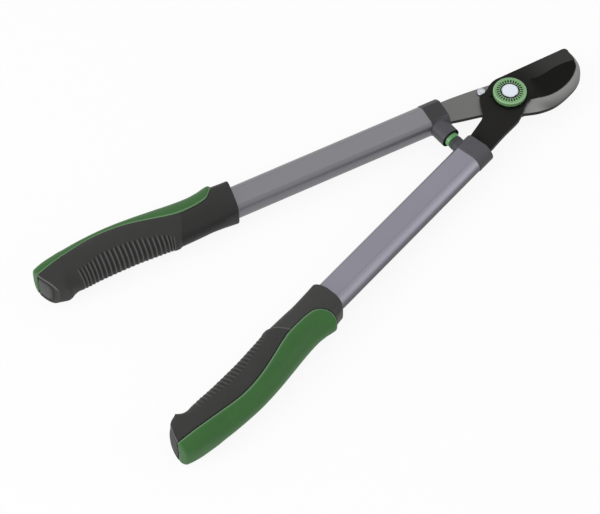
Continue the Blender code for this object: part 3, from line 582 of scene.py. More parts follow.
def lipDrop(distance, radius):
    if distance >= radius:
        return 0.0
    return radius - math.sqrt(radius ** 2 - (radius - max(distance, 0.0)) ** 2)


def endRows(radius, layer):
    base, reach = max(radius, layer), max(radius - layer, 0.0)
    turns = [math.radians(angle) for angle in range(0, 91, 15)]
    return [(grip["end"] - base + reach * math.sin(turn), base - reach * math.cos(turn), 1.0) for turn in turns]


def evenSteps(low, high, step):
    count = max(1, round((high - low) / step))
    return [low + (high - low) * i / count for i in range(count + 1)]


def edgeSpread(count, lipShare):
    close = [0.0, 0.06, 0.18, 0.36, 0.62, 1.0]
    middle = [lipShare + (1 - 2 * lipShare) * i / count for i in range(1, count)]
    return [lipShare * c for c in close] + middle + [1 - lipShare * c for c in close[::-1]]


def buttFace(radius, layer, grooved):
    rows, inset, place = [], max(radius, layer), grip["end"] - layer
    bead, groove = butt["bead"], butt["groove"]
    if grooved:
        for i in range(1, 9):
            d = bead * 0.5 + (bead + groove) * i / 8
            dip = butt["grooveDepth"] * math.sin(math.pi * min(max((d - bead) / groove, 0), 1)) ** 2
            rows.append((place - dip, inset + d, 1.0))
        inset = rows[-1][1]
    return rows + [(place, inset, share) for share in (0.8, 0.6, 0.4, 0.25, butt["eye"])]


def withEnd(stations, radius, layer, grooved):
    return stations + endRows(radius, layer) + buttFace(radius, layer, grooved)


def unzipRows(rows):  # rows of (point, mark, ...) become one list of rows for each
    return [list(layer) for layer in zip(*(zip(*row) for row in rows))]


def padRows(stations, ribbed, columns):
    rows, depth, contrast = [], own("ribDepth"), own("ribContrast")
    for s, inset, share in stations:
        limit = coverAngle(s) + 3 * seamAngle(s, share)
        place = (s - ribs["start"]) / ribs["pitch"]
        inside = ribbed and 0 <= place <= ribs["count"]
        dip = 0.5 - 0.5 * math.cos(2 * math.pi * place)
        wave = dip ** ribs["narrow"] if inside else 0.0
        crest = max(1 - ribs["crest"] * dip, 0.0) if inside else 0.0
        reach = curveValue(grip["ribReach"], s)
        turn, row = 2 * math.pi - 2 * limit, []
        for t in columns:
            angle = limit + turn * t
            fade = 1 - smoothStep(reach, reach + ribs["fade"], abs(math.degrees(angle) - 180))
            groove = wave * fade
            drop = lipDrop(min(t, 1 - t) * (turn * grip["padArc"] * share), grip["padLip"]) if ribbed else 0.0
            point = gripSurface(s, angle, inset + depth * groove + drop, share)
            # grooves put painted shade into the rib hollows, crests a painted highlight on the ribs
            row.append((point, groove * contrast, crest * fade * contrast))
        rows.append(row)
    return unzipRows(rows)


def buildPad(prefix, material):
    front, layer, rounding = grip["shoulder"] + 0.25, grip["padLayer"], butt["rounding"]
    ribEnd = ribs["start"] + ribs["pitch"] * ribs["count"]
    places = evenSteps(front + 3.4, ribs["start"] - 0.8, 1.6)
    places += evenSteps(ribs["start"], ribEnd, ribs["pitch"] / ribs["steps"])
    places += evenSteps(ribEnd + 1.2, grip["end"] - rounding - 1.0, 1.4)
    stations = [(front + 2.4 * t, 0.82 * (1 - t), 1.0) for t in (0, 0.05, 0.25, 0.5, 0.75, 0.95, 1.0)]
    stations += [(s, 0.0, 1.0) for s in places]
    columns, rim = edgeSpread(40, 0.02), len(stations)
    rows, grooves, crests = padRows(withEnd(stations, rounding, 0.0, True), True, columns)
    inner = withEnd([(s, layer, 1.0) for s, _, _ in stations], rounding, layer, True)
    light, loss = butt["beadLight"]
    for i in range(rim + 2, rim + 5):  # painted highlight along the bead's upper side
        crests[i] = [light - loss * smoothStep(*butt["beadSpan"], t) for t in columns]
    # painted highlight on the front ramp and on the end cap, painted shade in the butt groove
    for marks, first, last, share in (
            (crests, 1, 6, own("rampLight")), (grooves, rim + 8, rim + 14, butt["grooveDark"]),
            (crests, rim + 15, len(rows), own("capLight"))):
        marks[first:last] = [[share] * len(columns)] * (last - first)
    bm = shellBody(rows, padRows(inner, False, evenSteps(0.0, 1.0, 0.1))[0], {"dark": grooves, "light": crests})
    makeGripPiece(prefix, "pad", bm, material, 50)


def coverFirst():
    return own("coverStart") + 2 * clearance


def coverBorder():
    first = coverFirst()
    near = [first + step for step in (0, 0.2, 0.4, 0.7, 1.0, 1.4, 1.9, 2.4, 3.4, 4.4, 5.4, 7.4)]
    near += evenSteps(first + 9, grip["end"], 3.0)
    return [(first, 0.0)] + [(s, coverAngle(s - clearance) * grip["coverArc"]) for s in near]


def borderDistance(border, s, arc):
    best = 99.0
    for (s0, a0), (s1, a1) in zip(border, border[1:]):
        if min(s0, s1) - 4 > s or max(s0, s1) + 4 < s:
            continue
        ds, da = s1 - s0, a1 - a0
        t = min(max(((s - s0) * ds + (arc - a0) * da) / max(ds * ds + da * da, 1e-9), 0.0), 1.0)
        best = min(best, math.hypot(s0 + t * ds - s, a0 + t * da - arc))
    return best


def coverRows(stations, lipped, columns):
    border, rows, lipSpan = coverBorder(), [], (own("lipLight"), grip["lipFull"])
    for s, inset, share in stations:
        limit = coverAngle(s - clearance) - seamAngle(s, share)
        row = []
        for t in columns:
            angle = limit * (2 * t - 1)
            lift = slope = 0.0
            if lipped:
                distance = borderDistance(border, s, abs(angle) * grip["coverArc"] * share)
                slope = max(1 - distance / grip["coverLip"], 0.0)
                lift = grip["coverProud"] - grip["lipDepth"] * slope
            # the lip share paints a highlight along the cover's lip
            row.append((gripSurface(s, angle, inset - lift, share), smoothStep(*lipSpan, slope)))
        rows.append(row)
    return unzipRows(rows)


def buildCover(prefix, material):
    first, layer = coverFirst(), grip["coverLayer"]
    places = [first + step for step in (0, 0.06, 0.4, 0.8, 1.2, 1.6, 2.0, 2.3, 3.0)]
    places += evenSteps(first + 4.0, grip["end"] - 2.6, 1.6)
    outer = withEnd([(s, 0.0, 1.0) for s in places], grip["coverRounding"], 0.0, False)
    inner = withEnd([(s, layer, 1.0) for s in places], butt["rounding"], layer, False)
    rows, lips = coverRows(outer, True, edgeSpread(36, 0.07))
    # painted shade on the cover's end face
    shades = [[grip["coverEndDark"] * (i > len(places) + 3)] * len(row) for i, row in enumerate(rows)]
    bm = shellBody(rows, coverRows(inner, False, evenSteps(0.0, 1.0, 0.1))[0], {"light": lips, "dark": shades})
    makeGripPiece(prefix, "cover", bm, material, 24)


tube = {"half": 14.85, "height": 19.6, "flats": (6.5, 10.6), "wall": 1.2, "start": 61.7, "end": 425.0, "pitch": 60.0}


def tubeSection(offset, steps=14):
    half, halfHeight = tube["half"], tube["height"] / 2
    outFlat, inFlat = tube["flats"]
    outline = []
    for i in range(steps + 1):  # outer side: a parabola with a crease at both flats
        t = 2 * i / steps - 1
        lean = 2 * (half - outFlat) * t / halfHeight
        reach = offset / math.hypot(1, lean)
        y, z = outFlat + (half - outFlat) * (1 - t * t) + reach, halfHeight * t + reach * lean
        if abs(t) == 1:
            y, z = y - reach + offset * (math.hypot(1, lean) - abs(lean)), math.copysign(halfHeight + offset, t)
        outline.append((y, z))
    center = (half ** 2 - inFlat ** 2 - halfHeight ** 2) / (2 * (half - inFlat))
    radius = half - center + offset
    turn = math.degrees(math.asin((halfHeight + offset) / radius))
    return outline + arcPoints((-center, 0), radius, 180 - turn, 180 + turn, steps)


def tubeReach(offset, angle):
    outline = tubeSection(offset, 24)
    outline.append(outline[0])
    dy, dz = math.cos(angle), math.sin(angle)
    for (y0, z0), (y1, z1) in zip(outline, outline[1:]):
        ey, ez = y1 - y0, z1 - z0
        cross = dy * ez - dz * ey
        if abs(cross) > 1e-9:
            reach = (y0 * ez - z0 * ey) / cross
            along = (y0 * dz - z0 * dy) / cross
            if reach > 0 and -1e-6 <= along <= 1 + 1e-6:
                return (reach * dy, reach * dz)
    return (0.0, 0.0)


def coreRing(s, saddleInset, palmInset, share):
    columns, limit = grip["coreColumns"], coverAngle(s + clearance)
    ring = [gripSurface(s, limit * (2 * i / columns - 1), saddleInset, share) for i in range(columns + 1)]
    limit += 2 * seamAngle(s, share)
    turn = 2 * math.pi - 2 * limit
    for t in edgeSpread(columns + 8, 0.02):
        arc = min(t, 1 - t) * turn * grip["padArc"] * share
        drop = lipDrop(arc, grip["coreLip"]) if palmInset < saddleInset - 1.2 else 0.0
        ring.append(gripSurface(s, limit + turn * t, palmInset + drop, share))
    return ring


def buildCore(prefix, material):
    underCover, underPad = grip["coverLayer"] + clearance, grip["padLayer"] + clearance
    start, coverStart, end = grip["start"], own("coverStart"), grip["end"]
    shoulder, step, rounding = grip["shoulder"], grip["shoulderStep"], butt["rounding"]
    collar = [(start + a, b) for a, b in roundEdge(grip["collarRounding"], 5)]
    collar += [(s, 0.0) for s in evenSteps(start + 2.5, coverStart - 1.2, 1.5)] + [(coverStart - 0.3, 0.0)]
    rows = [(s, inset, inset, 1.0) for s, inset in collar]
    for s in [coverStart, coverStart + 0.6] + evenSteps(coverStart + 1, shoulder - 0.4, 1.2):
        rows.append((s, underCover, step * smoothStep(*grip["stepSpan"], s), 1.0))
    rows.append((shoulder + 0.15, underCover, step, 1.0))
    rows += [(s, underCover, underPad, 1.0) for s in evenSteps(shoulder + 0.17, end - rounding - 1.5, 5.0)]
    covered, padded = (endRows(rounding, layer) for layer in (underCover, underPad))
    rows += [(s, saddle, palm, share) for (s, saddle, share), (_, palm, _) in zip(covered, padded)]
    inset, face = rounding + butt["bead"] * 1.5 + butt["groove"], end - butt["coreFace"]
    rows += [(s, inset, inset, share) for s, share in ((face, 0.8), (face, 0.1), (end - clearance, 0.1))]
    rings = [coreRing(*row) for row in rows]
    bore = [tubeReach(clearance, math.atan2(z, y)) for _, y, z in rings[0]]
    inside = [[(s, y, z) for y, z in bore] for s in (tube["end"] + clearance, start)]
    makeGripPiece(prefix, "core", loftRings(inside + rings), material, 40)


coreFinish = dict(
    edgeColor=(95, 95, 95), mottleScale=60, grainScale=1500, depth=0.03, speckle=0.08,
    edgeRadius=0.8, edgeReach=0.25, rough=0.5, specular=0.3)
# the hook core is a darker copy of the blade core, and both darken towards the bottom: painted shade
coreTones = {
    hookSide: dict(color=(33, 33, 32), shade=(28, 28, 27), edgeColor=(60, 60, 60),
                   paintedLightTones=[("Z", 28, 17, (14, 14, 14))]),
    bladeSide: dict(color=(52, 52, 51), shade=(46, 46, 45), paintedLightTones=[("Z", 29.4, 22, (36, 34, 31))]),
}
# marks: painted highlight on lips, rib crests, bead, ramp and end cap; painted shade in the grooves and on the
# cover's end face
coverFinish = dict(
    coreFinish, color=(53, 101, 46), shade=(45, 91, 40), edgeColor=(120, 165, 120), edgeRadius=0.6, specular=0.26,
    marks={"light": (112, 142, 110), "dark": (24, 64, 24)})
padFinish = dict(
    coreFinish, color=(52, 52, 51), shade=(44, 44, 43), edgeColor=(100, 100, 100), mottleScale=70,
    grainScale=1300, depth=0.05, speckle=0.10, rough=0.62, specular=0.22,
    marks={"dark": (14, 14, 14), "light": (94, 94, 93)})

coverGreen = mouldedPlastic("coverGreen", coverFinish)
padCharcoal = mouldedPlastic("padCharcoal", padFinish)
for prefix, side in handles:
    grip["side"] = side
    buildPad(prefix, padCharcoal)
    buildCover(prefix, coverGreen)
    buildCore(prefix, mouldedPlastic(prefix + "CoreCharcoal", dict(coreFinish, **coreTones[side])))
print("stage: grips made")


# Tubes
def buildTube(prefix, side, look):
    outer, inner = tubeSection(0.0), tubeSection(-tube["wall"])
    stations = evenSteps(tube["start"], tube["end"], tube["pitch"])
    bm = sleeve([(s, outer) for s in stations] + [(s, inner) for s in stations[::-1]], closed=False)
    makePiece(prefix + "Tube", ontoHandle(bm, side), [satinMetal(prefix + "TubeAnodised", look)],
              prefix + "_side", [prefix + "_handle_tube"], 25, bevel=0.45)


tubeFinish = dict(
    edgeColor=(86, 86, 90), cloud=0.5, along=14, across=1500, mottleScale=18,
    edgeRadius=0.5, edgeReach=0.12, rough=0.36, metallic=0.85, depth=0.004)
# the hook tube is a darker copy of the blade tube, and each darkens towards its lower side: painted shade
tubeTones = {
    hookSide: dict(color=(122, 121, 126), shade=(115, 114, 118), cloudColor=(128, 127, 133),
                   paintedLightTones=[("Z", 17, 5, (66, 67, 69))]),
    bladeSide: dict(color=(130, 128, 138), shade=(122, 120, 129), cloudColor=(136, 134, 144),
                    paintedLightTones=[("Z", 24.4, 12, (40, 44, 40))]),
}
for prefix, side in handles:
    buildTube(prefix, side, dict(tubeFinish, turn=side * -layout["halfAngle"], **tubeTones[side]))
print("stage: tubes made")

# Ferrules with the bumper's socket and seat
ferrule = {
    "start": 60.2, "end": 78.2, "gap": 0.1, "wall": 0.4, "front": 1.2, "rounding": 1.0,
    "slotHalves": {bladeSide: (11.5, 12.7), hookSide: (10.3, 13.7)},
}
bumper = {
    "x": -69.4, "radius": 7.0, "noseRadius": 6.6, "face": -5.4, "back": 6.2, "socketRadius": 9.35, "socketFace": -0.6,
    "boreRadius": 8.75, "boreBack": 6.5, "padRadius": 6.6, "padBack": -9.2, "padThickness": 3.4,
    "stemRadius": 2.5, "stemLength": 2.6, "noseEdge": 1.5, "padEdge": 0.8, "socketEnd": 22, "seatEnd": -24,
}
ferruleFinish = dict(
    color=(70, 69, 75), shade=(62, 61, 66), edgeColor=(118, 117, 122), mottleScale=90, grainScale=1300,
    depth=0.05, speckle=0.14, edgeRadius=0.5, edgeReach=0.3, rough=0.5, specular=0.35)


def buildFerrule(prefix, side, look):
    start, end, outer = ferrule["start"], ferrule["end"], ferrule["gap"] + ferrule["wall"]
    stations = [(start + a, outer - b) for a, b in roundEdge(ferrule["rounding"], 8)]
    stations += [(end - 0.2, outer), (end, outer - 0.2)]
    bm = sleeve([(s, tubeSection(offset)) for s, offset in stations])
    (halfOut, halfIn), (low, high) = ferrule["slotHalves"][side], levels[prefix]
    low, high, floor = low - clearance, high + clearance, start + ferrule["front"]
    slot = [(-halfIn, low), (halfOut, low), (halfOut, high), (-halfIn, high)]
    hollow = tubeSection(ferrule["gap"])
    if side == hookSide:
        boss = rod(bumper["socketRadius"], bumper["socketFace"], bumper["socketEnd"], 64)
        bore = rod(bumper["boreRadius"], bumper["socketFace"] - 3, bumper["boreBack"], 64)
    else:
        seat = bumper["padBack"] - clearance
        boss = rod(bumper["padRadius"], bumper["seatEnd"], seat, 64)
        bore = rod(bumper["stemRadius"] + clearance, seat - bumper["stemLength"], seat + 2, 40)
    cutters = [acrossHead(bore), ontoHandle(sleeve([(floor, hollow), (end + 2, hollow)]), side),
               ontoHandle(sleeve([(start - 3, slot), (floor + 1, slot)]), side)]
    makePiece(prefix + "Ferrule", ontoHandle(bm, side), [mouldedPlastic(prefix + "FerruleSlate", look)],
              prefix + "_side", [prefix + "_ferrule"], 20, cutters=cutters,
              joined=[acrossHead(boss)], bevel=0.3)


# the blade ferrule is a lighter copy that darkens below its top face; the hook ferrule body is painted darker than
# its socket boss, and the socket's mouth gets painted shade
buildFerrule("blade", bladeSide, dict(ferruleFinish, color=(76, 75, 82), shade=(68, 67, 73),
                                      paintedLightTones=[("Z", 25.7, 21.0, (54, 55, 56))]))
buildFerrule("hook", hookSide, dict(ferruleFinish, paintedLightTones=[
    ("Y", 14.0, 18.0, (36, 36, 36)), ((bumper["x"], -1.0, 16.0), 9.3, 9.1, (14, 14, 14))]))

bumperFinish = dict(
    color=(98, 164, 98), shade=(76, 138, 78), edgeColor=(165, 212, 165), mottleScale=160, grainScale=900,
    depth=0.06, speckle=0.12, edgeRadius=0.8, edgeReach=0.3, rough=0.38, specular=0.5,
    # painted shade: the plug turns near-black where it leaves the socket's mouth
    paintedLightTones=[("Y", -2.1, -1.5, (12, 22, 12))])
bumperPadFinish = dict(ferruleFinish, color=(50, 52, 52), shade=(40, 42, 42))


def buildBumper():
    face, back, radius, tip = bumper["face"], bumper["back"], bumper["radius"], bumper["noseRadius"]
    nose = [(tip - b, face + a) for a, b in roundEdge(bumper["noseEdge"], 6)]
    body = lathe([(tip - 2.6, face - 0.1)] + nose + [(radius, -0.6), (radius, back - 0.4), (radius - 0.4, back)], 64)
    makePiece("bumperPlug", acrossHead(body), [mouldedPlastic("bumperGreen", bumperFinish)],
              "hook_side", ["bumper"], 40)
    low, radius, stem = bumper["padBack"], bumper["padRadius"], bumper["stemRadius"]
    end, high = low - bumper["stemLength"], low + bumper["padThickness"]
    body = lathe([(stem - 0.3, end), (stem, end + 0.3), (stem, low), (radius - 0.3, low), (radius, low + 0.3)]
                 + [(radius - a, high - b) for a, b in roundEdge(bumper["padEdge"], 5)], 64)
    makePiece("bumperStop", acrossHead(body), [mouldedPlastic("bumperStopBlack", bumperPadFinish)],
              "blade_side", ["bumper_pad"], 40)


buildBumper()
print("stage: ferrules and bumper made")

# Blade
blade = {
    "bossRadius": 20.4, "land": 0.5, "holeRadius": 4.3, "tang": 9, "tangEnd": 98, "step": 61.4, "neck": 57.2,
    "neckSides": (11.2, -12.3), "stepSides": (11.0, -12.2),
    "edge": [(71.8, -7), (70.2, -10.4), (66.9, -13.6), (60.5, -17.6), (52, -20.6), (41.9, -22),
             (31.9, -21.3), (25.2, -19.3), (19, -16.3), (13.2, -14)],
    "ridge": [(71.2, -6.6), (69.4, -6.7), (66.2, -5.7), (60, -3.8), (51.5, -2.4), (41, -2),
              (32, -1.2), (25, 1), (20.5, -5.6), (13.6, -13.6)],
    "heel": [(9.4, -14.3), (5, -16.6), (0, -19.7), (-5.8, -23.6), (-9.8, -25.6), (-15, -27.6), (-33, -31)],
    "throat": [(-42.6, -7.6), (-36.9, -5.1), (-32, -0.3), (-25.6, 10.1), (-22.2, 15.2)],
    "tip": [(70.4, 8.6), (72.4, 7.7), (73.4, 5.4), (72.5, 0.5), (71.7, -5)],
}
stopPin = {"distance": 25.4, "angle": 129.9, "radius": 4.0, "shank": 2.5, "top": 4.6, "edge": 1.2, "dome": 0.35}
pinTurn = math.radians(stopPin["angle"])
pinCenter = (stopPin["distance"] * math.cos(pinTurn), stopPin["distance"] * math.sin(pinTurn))
tangRivets = {"places": (66.0, 74.0), "radius": 2.8}


def tangOutline(side, first, last):
    tang, step, end = math.copysign(blade["tang"], first), blade["step"], blade["tangEnd"]
    corners = [(step, first), (step, tang), (end, tang), (end, -tang), (step, -tang), (step, last)]
    return [handlePoint(along, out, side) for along, out in corners]


def bladeBackOutline():
    outer, inner = (handlePoint(blade["neck"], out, bladeSide) for out in blade["neckSides"])
    heel, throat = smoothPoints(blade["heel"] + [outer]), smoothPoints([inner] + blade["throat"])
    facing = stopPin["angle"] + 180
    notch = arcPoints(pinCenter, stopPin["radius"] + clearance, facing + 10, facing - 62, 12)[::-1]
    pinAngle = math.degrees(math.atan2(notch[-1][1], notch[-1][0]))
    x, y = blade["tip"][0]
    spineAngle = math.degrees(math.atan2(y, x) + math.acos(blade["bossRadius"] / math.hypot(x, y)))
    boss = arcPoints((0, 0), blade["bossRadius"], pinAngle - 2, spineAngle, 20)
    return heel + tangOutline(bladeSide, *blade["stepSides"]) + throat + notch + boss + blade["tip"]


def cutRivets(side):
    return [rod(tangRivets["radius"], -12, 12, 24, handlePoint(along, 0, side)) for along in tangRivets["places"]]


def buildBlade(materials):
    rows, land, (low, high) = 6, blade["land"], levels["blade"]
    edge, ridge, back = smoothPoints(blade["edge"]), smoothPoints(blade["ridge"]), bladeBackOutline()
    bm = bmesh.new()
    lowEdge = [bm.verts.new((x, y, low)) for x, y in edge]
    lowBack = [bm.verts.new((x, y, low)) for x, y in back]
    slope = []
    for i in range(rows + 1):
        t = i / rows
        z = low + land + (high - low - land) * t
        slope.append([bm.verts.new((ex + (rx - ex) * t, ey + (ry - ey) * t, z))
                      for (ex, ey), (rx, ry) in zip(edge, ridge)])
    topBack = [bm.verts.new((x, y, high)) for x, y in back]
    bm.faces.new(lowEdge + lowBack)
    bm.faces.new((slope[-1] + topBack)[::-1])
    bands = [(lowEdge, slope[0], 0), (lowBack, topBack, 0)] + [(a, b, 1) for a, b in zip(slope, slope[1:])]
    for row, following, material in bands:
        for i in range(len(row) - 1):
            bm.faces.new((row[i + 1], row[i], following[i], following[i + 1])).material_index = material
    bm.faces.new([lowBack[0], lowEdge[-1]] + [row[-1] for row in slope] + [topBack[0]])
    bm.faces.new([lowEdge[0], lowBack[-1], topBack[-1]] + [row[0] for row in slope][::-1])
    makePiece("cuttingBlade", bm, materials, "blade_side", ["cutting_blade"], 7,
              cutters=[rod(blade["holeRadius"], 0, 10, 48)] + cutRivets(bladeSide))


def blackCoating(name, look):  # ground lines show through in place of specks
    return mouldedPlastic(name, look, pits=0.3, contrast=1.8, breakup=600.0, spread=0.08)


bladeFinish = dict(
    color=(30, 29, 27), shade=(24, 24, 22), edgeColor=(62, 62, 60), mottleScale=60, grainScale=1600,
    depth=0.02, turn=0, speckle=0.14, edgeRadius=0.5, edgeReach=0.5, rough=0.42, specular=0.07,
    # painted sheen: the coating grows lighter towards the tip; painted shadow: a dark ring on the blade around the
    # disc
    paintedLightTones=[("X", 18, 58, (56, 56, 55)), ((-0.5, -1.2, 20), 17.6, 15.8, (8, 12, 8))])
# the bevel is a darker copy of the coating: its ground lines are its own, its darker colour is painted shade on the
# slope, lifted towards the heel
bevelFinish = dict(
    bladeFinish, color=(18, 18, 16), shade=(13, 13, 12), specular=0.05, turn=70, edgeReach=1.2,
    paintedLightTones=[("X", 30, 20, (28, 27, 25))])
buildBlade([blackCoating("bladeCoating", bladeFinish), blackCoating("groundBevel", bevelFinish)])

# Hook
hook = {
    "bossRadius": 19.8, "neckSides": (-13.4, 9.9), "stepSides": (-13.2, 9.8),
    "outer": [(75.2, 2.4), (75, -1.2), (74.2, -6.3), (72.7, -11.1), (70.5, -15.4), (67, -19.9),
              (62.5, -24.2), (57, -27.4), (50, -29.9), (36.5, -32.4),
              (23.5, -32.7), (10, -29), (-2, -22.4)],
    "lower": [(-33, 1), (-50, 8.4)],
    "upper": [(-41.9, 32.1), (-23.2, 27), (-8, 22.4)],
    "mouth": [(22.5, -11), (34, -15.6), (47, -15.4), (58.5, -11), (66.5, -3.5), (70.2, 4.2)],
    "tip": [(71.6, 5.8), (73.6, 5.6), (75, 4.2)],
}


def hookOutline():
    inner, outer = (handlePoint(blade["neck"], out, hookSide) for out in hook["neckSides"])
    lower, upper = smoothPoints(hook["lower"] + [inner]), smoothPoints([outer] + hook["upper"])
    return (smoothPoints(hook["outer"]) + arcPoints((0, 0), hook["bossRadius"] + 3, 250, 215, 10) + lower
            + tangOutline(hookSide, *hook["stepSides"]) + upper + arcPoints((0, 0), hook["bossRadius"], 88, -12, 24)
            + smoothPoints(hook["mouth"]) + hook["tip"])


hookFinish = dict(
    color=(132, 132, 130), shade=(118, 118, 116), edgeColor=(150, 150, 148), cloudColor=(140, 140, 138),
    cloud=0.5, turn=8, along=40, across=1800, mottleScale=70, edgeRadius=0.4, edgeReach=0.4,
    rough=0.4, metallic=0.9, depth=0.006,
    # painted light and shade: the jaw darkens towards its outer edge, and the plate darkens towards the handle
    paintedLightTones=[((40.4, 17.5, 18), 40, 54, (86, 86, 85)), ("X", 24, 8, (130, 130, 128)),
           ("X", 4, -14, (104, 104, 103))])
hookShadedWallFinish = dict(
    hookFinish, color=(28, 28, 27), shade=(22, 22, 21), cloudColor=(34, 34, 33), edgeColor=(90, 90, 88), paintedLightTones=[])


def buildHook():
    outline = hookOutline()
    bm = loftRings([[(x, y, z) for x, y in outline] for z in levels["hook"]])
    bm.normal_update()
    # the side walls get a near-black copy of the steel: painted shade
    for face in bm.faces:
        face.material_index = 0 if abs(face.normal.z) > 0.5 else 1
    holes = [rod(blade["holeRadius"], -9, 9, 48), rod(stopPin["shank"] + clearance, -9, 9, 32, pinCenter)]
    materials = [satinMetal("hookSteel", hookFinish), satinMetal("hookShadedWall", hookShadedWallFinish)]
    makePiece("hookPlate", bm, materials, "hook_side", ["hook"], 30,
              cutters=holes + cutRivets(hookSide), bevel=0.35)


buildHook()
print("stage: blade and hook made")

# Pivot hardware
bolt = {"flats": 14.5, "corner": 7.5, "radius": 4.0, "coneTurn": 28.0, "topRadius": 6.5, "seat": 6.6,
        "threadPitch": 1.25, "threadDepth": 0.45}
disc = {"radius": 15.0, "floor": 1.2, "slots": 28, "slotInner": 9.1, "slotOuter": 11.9, "slotDepth": 1.9,
        "bore": 8.75, "hole": 4.3, "edge": 1.1, "rim": 13.2, "faceDrop": 0.3}
nut = {"flats": 13.0, "bore": 4.35, "waist": 6.2, "cone": 6.3, "collar": 2.4, "base": 5.6}
washer = {"bore": 4.3, "radius": 8.5, "edge": 0.3}


def hexRing(flats, z, cone=None):
    ring = []
    for i in range(ringSteps):
        angle = 2 * math.pi * i / ringSteps
        turn = (math.degrees(angle) + 360) % 60 - 30
        radius = min(flats / 2 / math.cos(math.radians(turn)), bolt["corner"])
        drop = max(radius - cone, 0.0) * math.tan(math.radians(bolt["coneTurn"])) if cone else 0.0
        ring.append((radius * math.cos(angle), radius * math.sin(angle), z - drop))
    return ring


def buildBolt(material):
    low, high = levels["head"]
    radius, end, top, flats = bolt["radius"], levels["boltEnd"], bolt["topRadius"], bolt["flats"]
    root, shank, z = radius - bolt["threadDepth"], [(radius - 0.8, end), (radius, end + 0.8)], end + 1.2
    while z < levels["nut"][0] + 1.0:
        shank += [(radius, z), (root, z + 0.45), (root, z + 0.6), (radius, z + 1.05)]
        z += bolt["threadPitch"]
    rings = roundRings(shank + [(radius, low), (bolt["seat"], low)])
    rings += [hexRing(flats, low + 0.25), hexRing(flats, high, top)]
    rings += roundRings([(top, high), (top - 0.5, high), (3.0, high)])
    makePiece("pivotBolt", loftRings(rings), [material], "adjuster", ["pivot_bolt"], 24)


def buildDisc(material):
    low, high = levels["disc"]
    outer, bore, hole, slotIn, slotOut = (disc[key] for key in ("radius", "bore", "hole", "slotInner", "slotOuter"))
    face, floor, rim = high - disc["faceDrop"], low + disc["floor"], disc["rim"]
    profile = [(hole, low), (outer - 0.9, low), (outer - 0.25, low + 0.25), (outer, low + 0.9)]
    profile += [(outer - a, high - b) for a, b in roundEdge(disc["edge"], 5)]
    profile += [(rim, high), (rim - 0.3, high - 0.25), (slotOut + 0.12, face), (slotOut, face), (slotIn, face),
                (slotIn - 0.12, face), (bore + 0.08, face), (bore, high - 0.4), (bore, floor), (hole, floor)]
    segments = disc["slots"] * 8
    bm = bmesh.new()
    dark = bm.verts.layers.float.new("dark")
    rows = []
    for radius, z in profile:
        row = []
        for i in range(segments):
            place = i % 8
            angle = 2 * math.pi * (i + {1: 0.46, 7: -0.46}.get(place, 0.0)) / segments
            inSlot = 2 <= place <= 6 and slotIn - 1e-6 <= radius <= slotOut + 1e-6
            depth = disc["slotDepth"] if inSlot and z > low + 2 else 0.0
            row.append(bm.verts.new((radius * math.cos(angle), radius * math.sin(angle), z - depth)))
            # slot floors and the bore wall carry painted shade
            row[-1][dark] = 1.0 if depth or radius < bore + 0.01 else 0.0
        rows.append(row)
    for ring, following in zip(rows, rows[1:] + rows[:1]):
        bridgeRings(bm, ring, following)
    makePiece("tensionDisc", bm, [material], "adjuster", ["adjusting_disc"], 35)


def buildStopPin(material):
    radius, top, shank = stopPin["radius"], stopPin["top"], stopPin["shank"]
    low = levels["hook"][1] + clearance
    profile = [(shank, -2.0), (shank, low), (radius - 0.3, low), (radius, low + 0.3)]
    profile += [(radius - a, top - stopPin["dome"] - b) for a, b in roundEdge(stopPin["edge"], 6)]
    profile += [(radius - 2.0, top - 0.1), (0.6, top)]
    makePiece("stopRivet", lathe(profile, 64, pinCenter), [material], "hook_side", ["stop_pin"], 35)


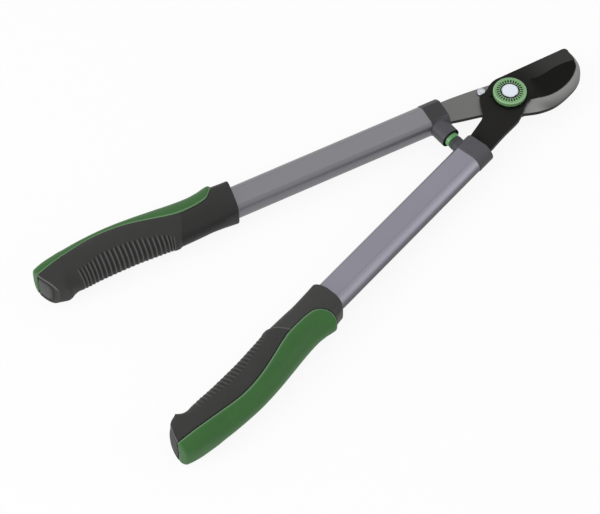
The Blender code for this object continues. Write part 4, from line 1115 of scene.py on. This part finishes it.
def buildNutAndWasher(material):
    low, high = levels["nut"]
    flats, bore, waist, cone, top = nut["flats"], nut["bore"], nut["waist"], nut["cone"], low + nut["collar"]
    flare = [(x, y, z + max(math.hypot(x, y) - cone, 0.0) * 0.5) for x, y, z in hexRing(flats, top)]
    base = [(nut["base"], low), (nut["base"] + 0.5, low + 0.5), (waist, low + 1.0)]
    rings = roundRings([(bore, low)] + base + [(waist, top - 0.2)])
    rings += [flare, hexRing(flats, high, cone)] + roundRings([(waist, high), (bore, high)])
    makePiece("lockNut", loftRings(rings, closed=False), [material], "hook_side", ["pivot_nut"], 24)
    (low, high), bore, radius, edge = levels["washer"], washer["bore"], washer["radius"], washer["edge"]
    profile = [(bore, low), (radius - edge, low), (radius, low + edge)]
    profile += [(r, low + high - z) for r, z in profile[::-1]]
    makePiece("rearWasher", lathe(profile, ringSteps, closed=False), [material], "hook_side", ["rear_washer"],
              30)


boltFinish = dict(
    color=(208, 213, 222), shade=(194, 199, 208), edgeColor=(218, 222, 228), cloudColor=(200, 205, 214),
    cloud=0.5, turn=20, along=300, across=1500, mottleScale=200, edgeRadius=0.4, edgeReach=0.3,
    rough=0.32, metallic=1, depth=0.004)
rivetFinish = dict(boltFinish, color=(188, 189, 194), shade=(170, 171, 176))
zincFinish = dict(boltFinish, color=(190, 192, 196), shade=(165, 167, 171), cloudColor=(175, 177, 180))
discFinish = dict(
    color=(114, 170, 108), shade=(102, 156, 96), edgeColor=(180, 205, 175), mottleScale=150,
    grainScale=1200, depth=0.03, speckle=0.1, edgeRadius=0.9, edgeReach=0.35, rough=0.36, specular=0.45,
    # painted shade around the bore and on the side wall, painted highlight on the rim
    paintedLightTones=[((0, 0, 22), 10, 9.3, (10, 26, 10)), ((0, 0, 27.6), 13.6, 14.6, (150, 185, 144)),
           ("Z", 27.2, 26.4, (106, 150, 98))],
    marks={"dark": (18, 34, 16)})

buildBolt(satinMetal("boltZinc", boltFinish))
buildDisc(mouldedPlastic("discGreen", discFinish))
buildStopPin(satinMetal("rivetSteel", rivetFinish))
buildNutAndWasher(satinMetal("nutZinc", zincFinish))
print("stage: pivot hardware made")

# Hidden fastenings inside the ferrules keep their solids
insertBlack = mouldedPlastic("insertBlack", dict(coreFinish, color=(36, 36, 36), shade=(30, 30, 30)))
tangRivet = satinMetal("tangRivetSteel", zincFinish)
for prefix, _ in handles:
    for name, material in (("insert", insertBlack), ("rivet_1", tangRivet), ("rivet_2", tangRivet)):
        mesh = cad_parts[prefix + "_tang_" + name].data
        mesh.materials.clear()
        mesh.materials.append(material)
print("stage: hidden fastenings dressed")
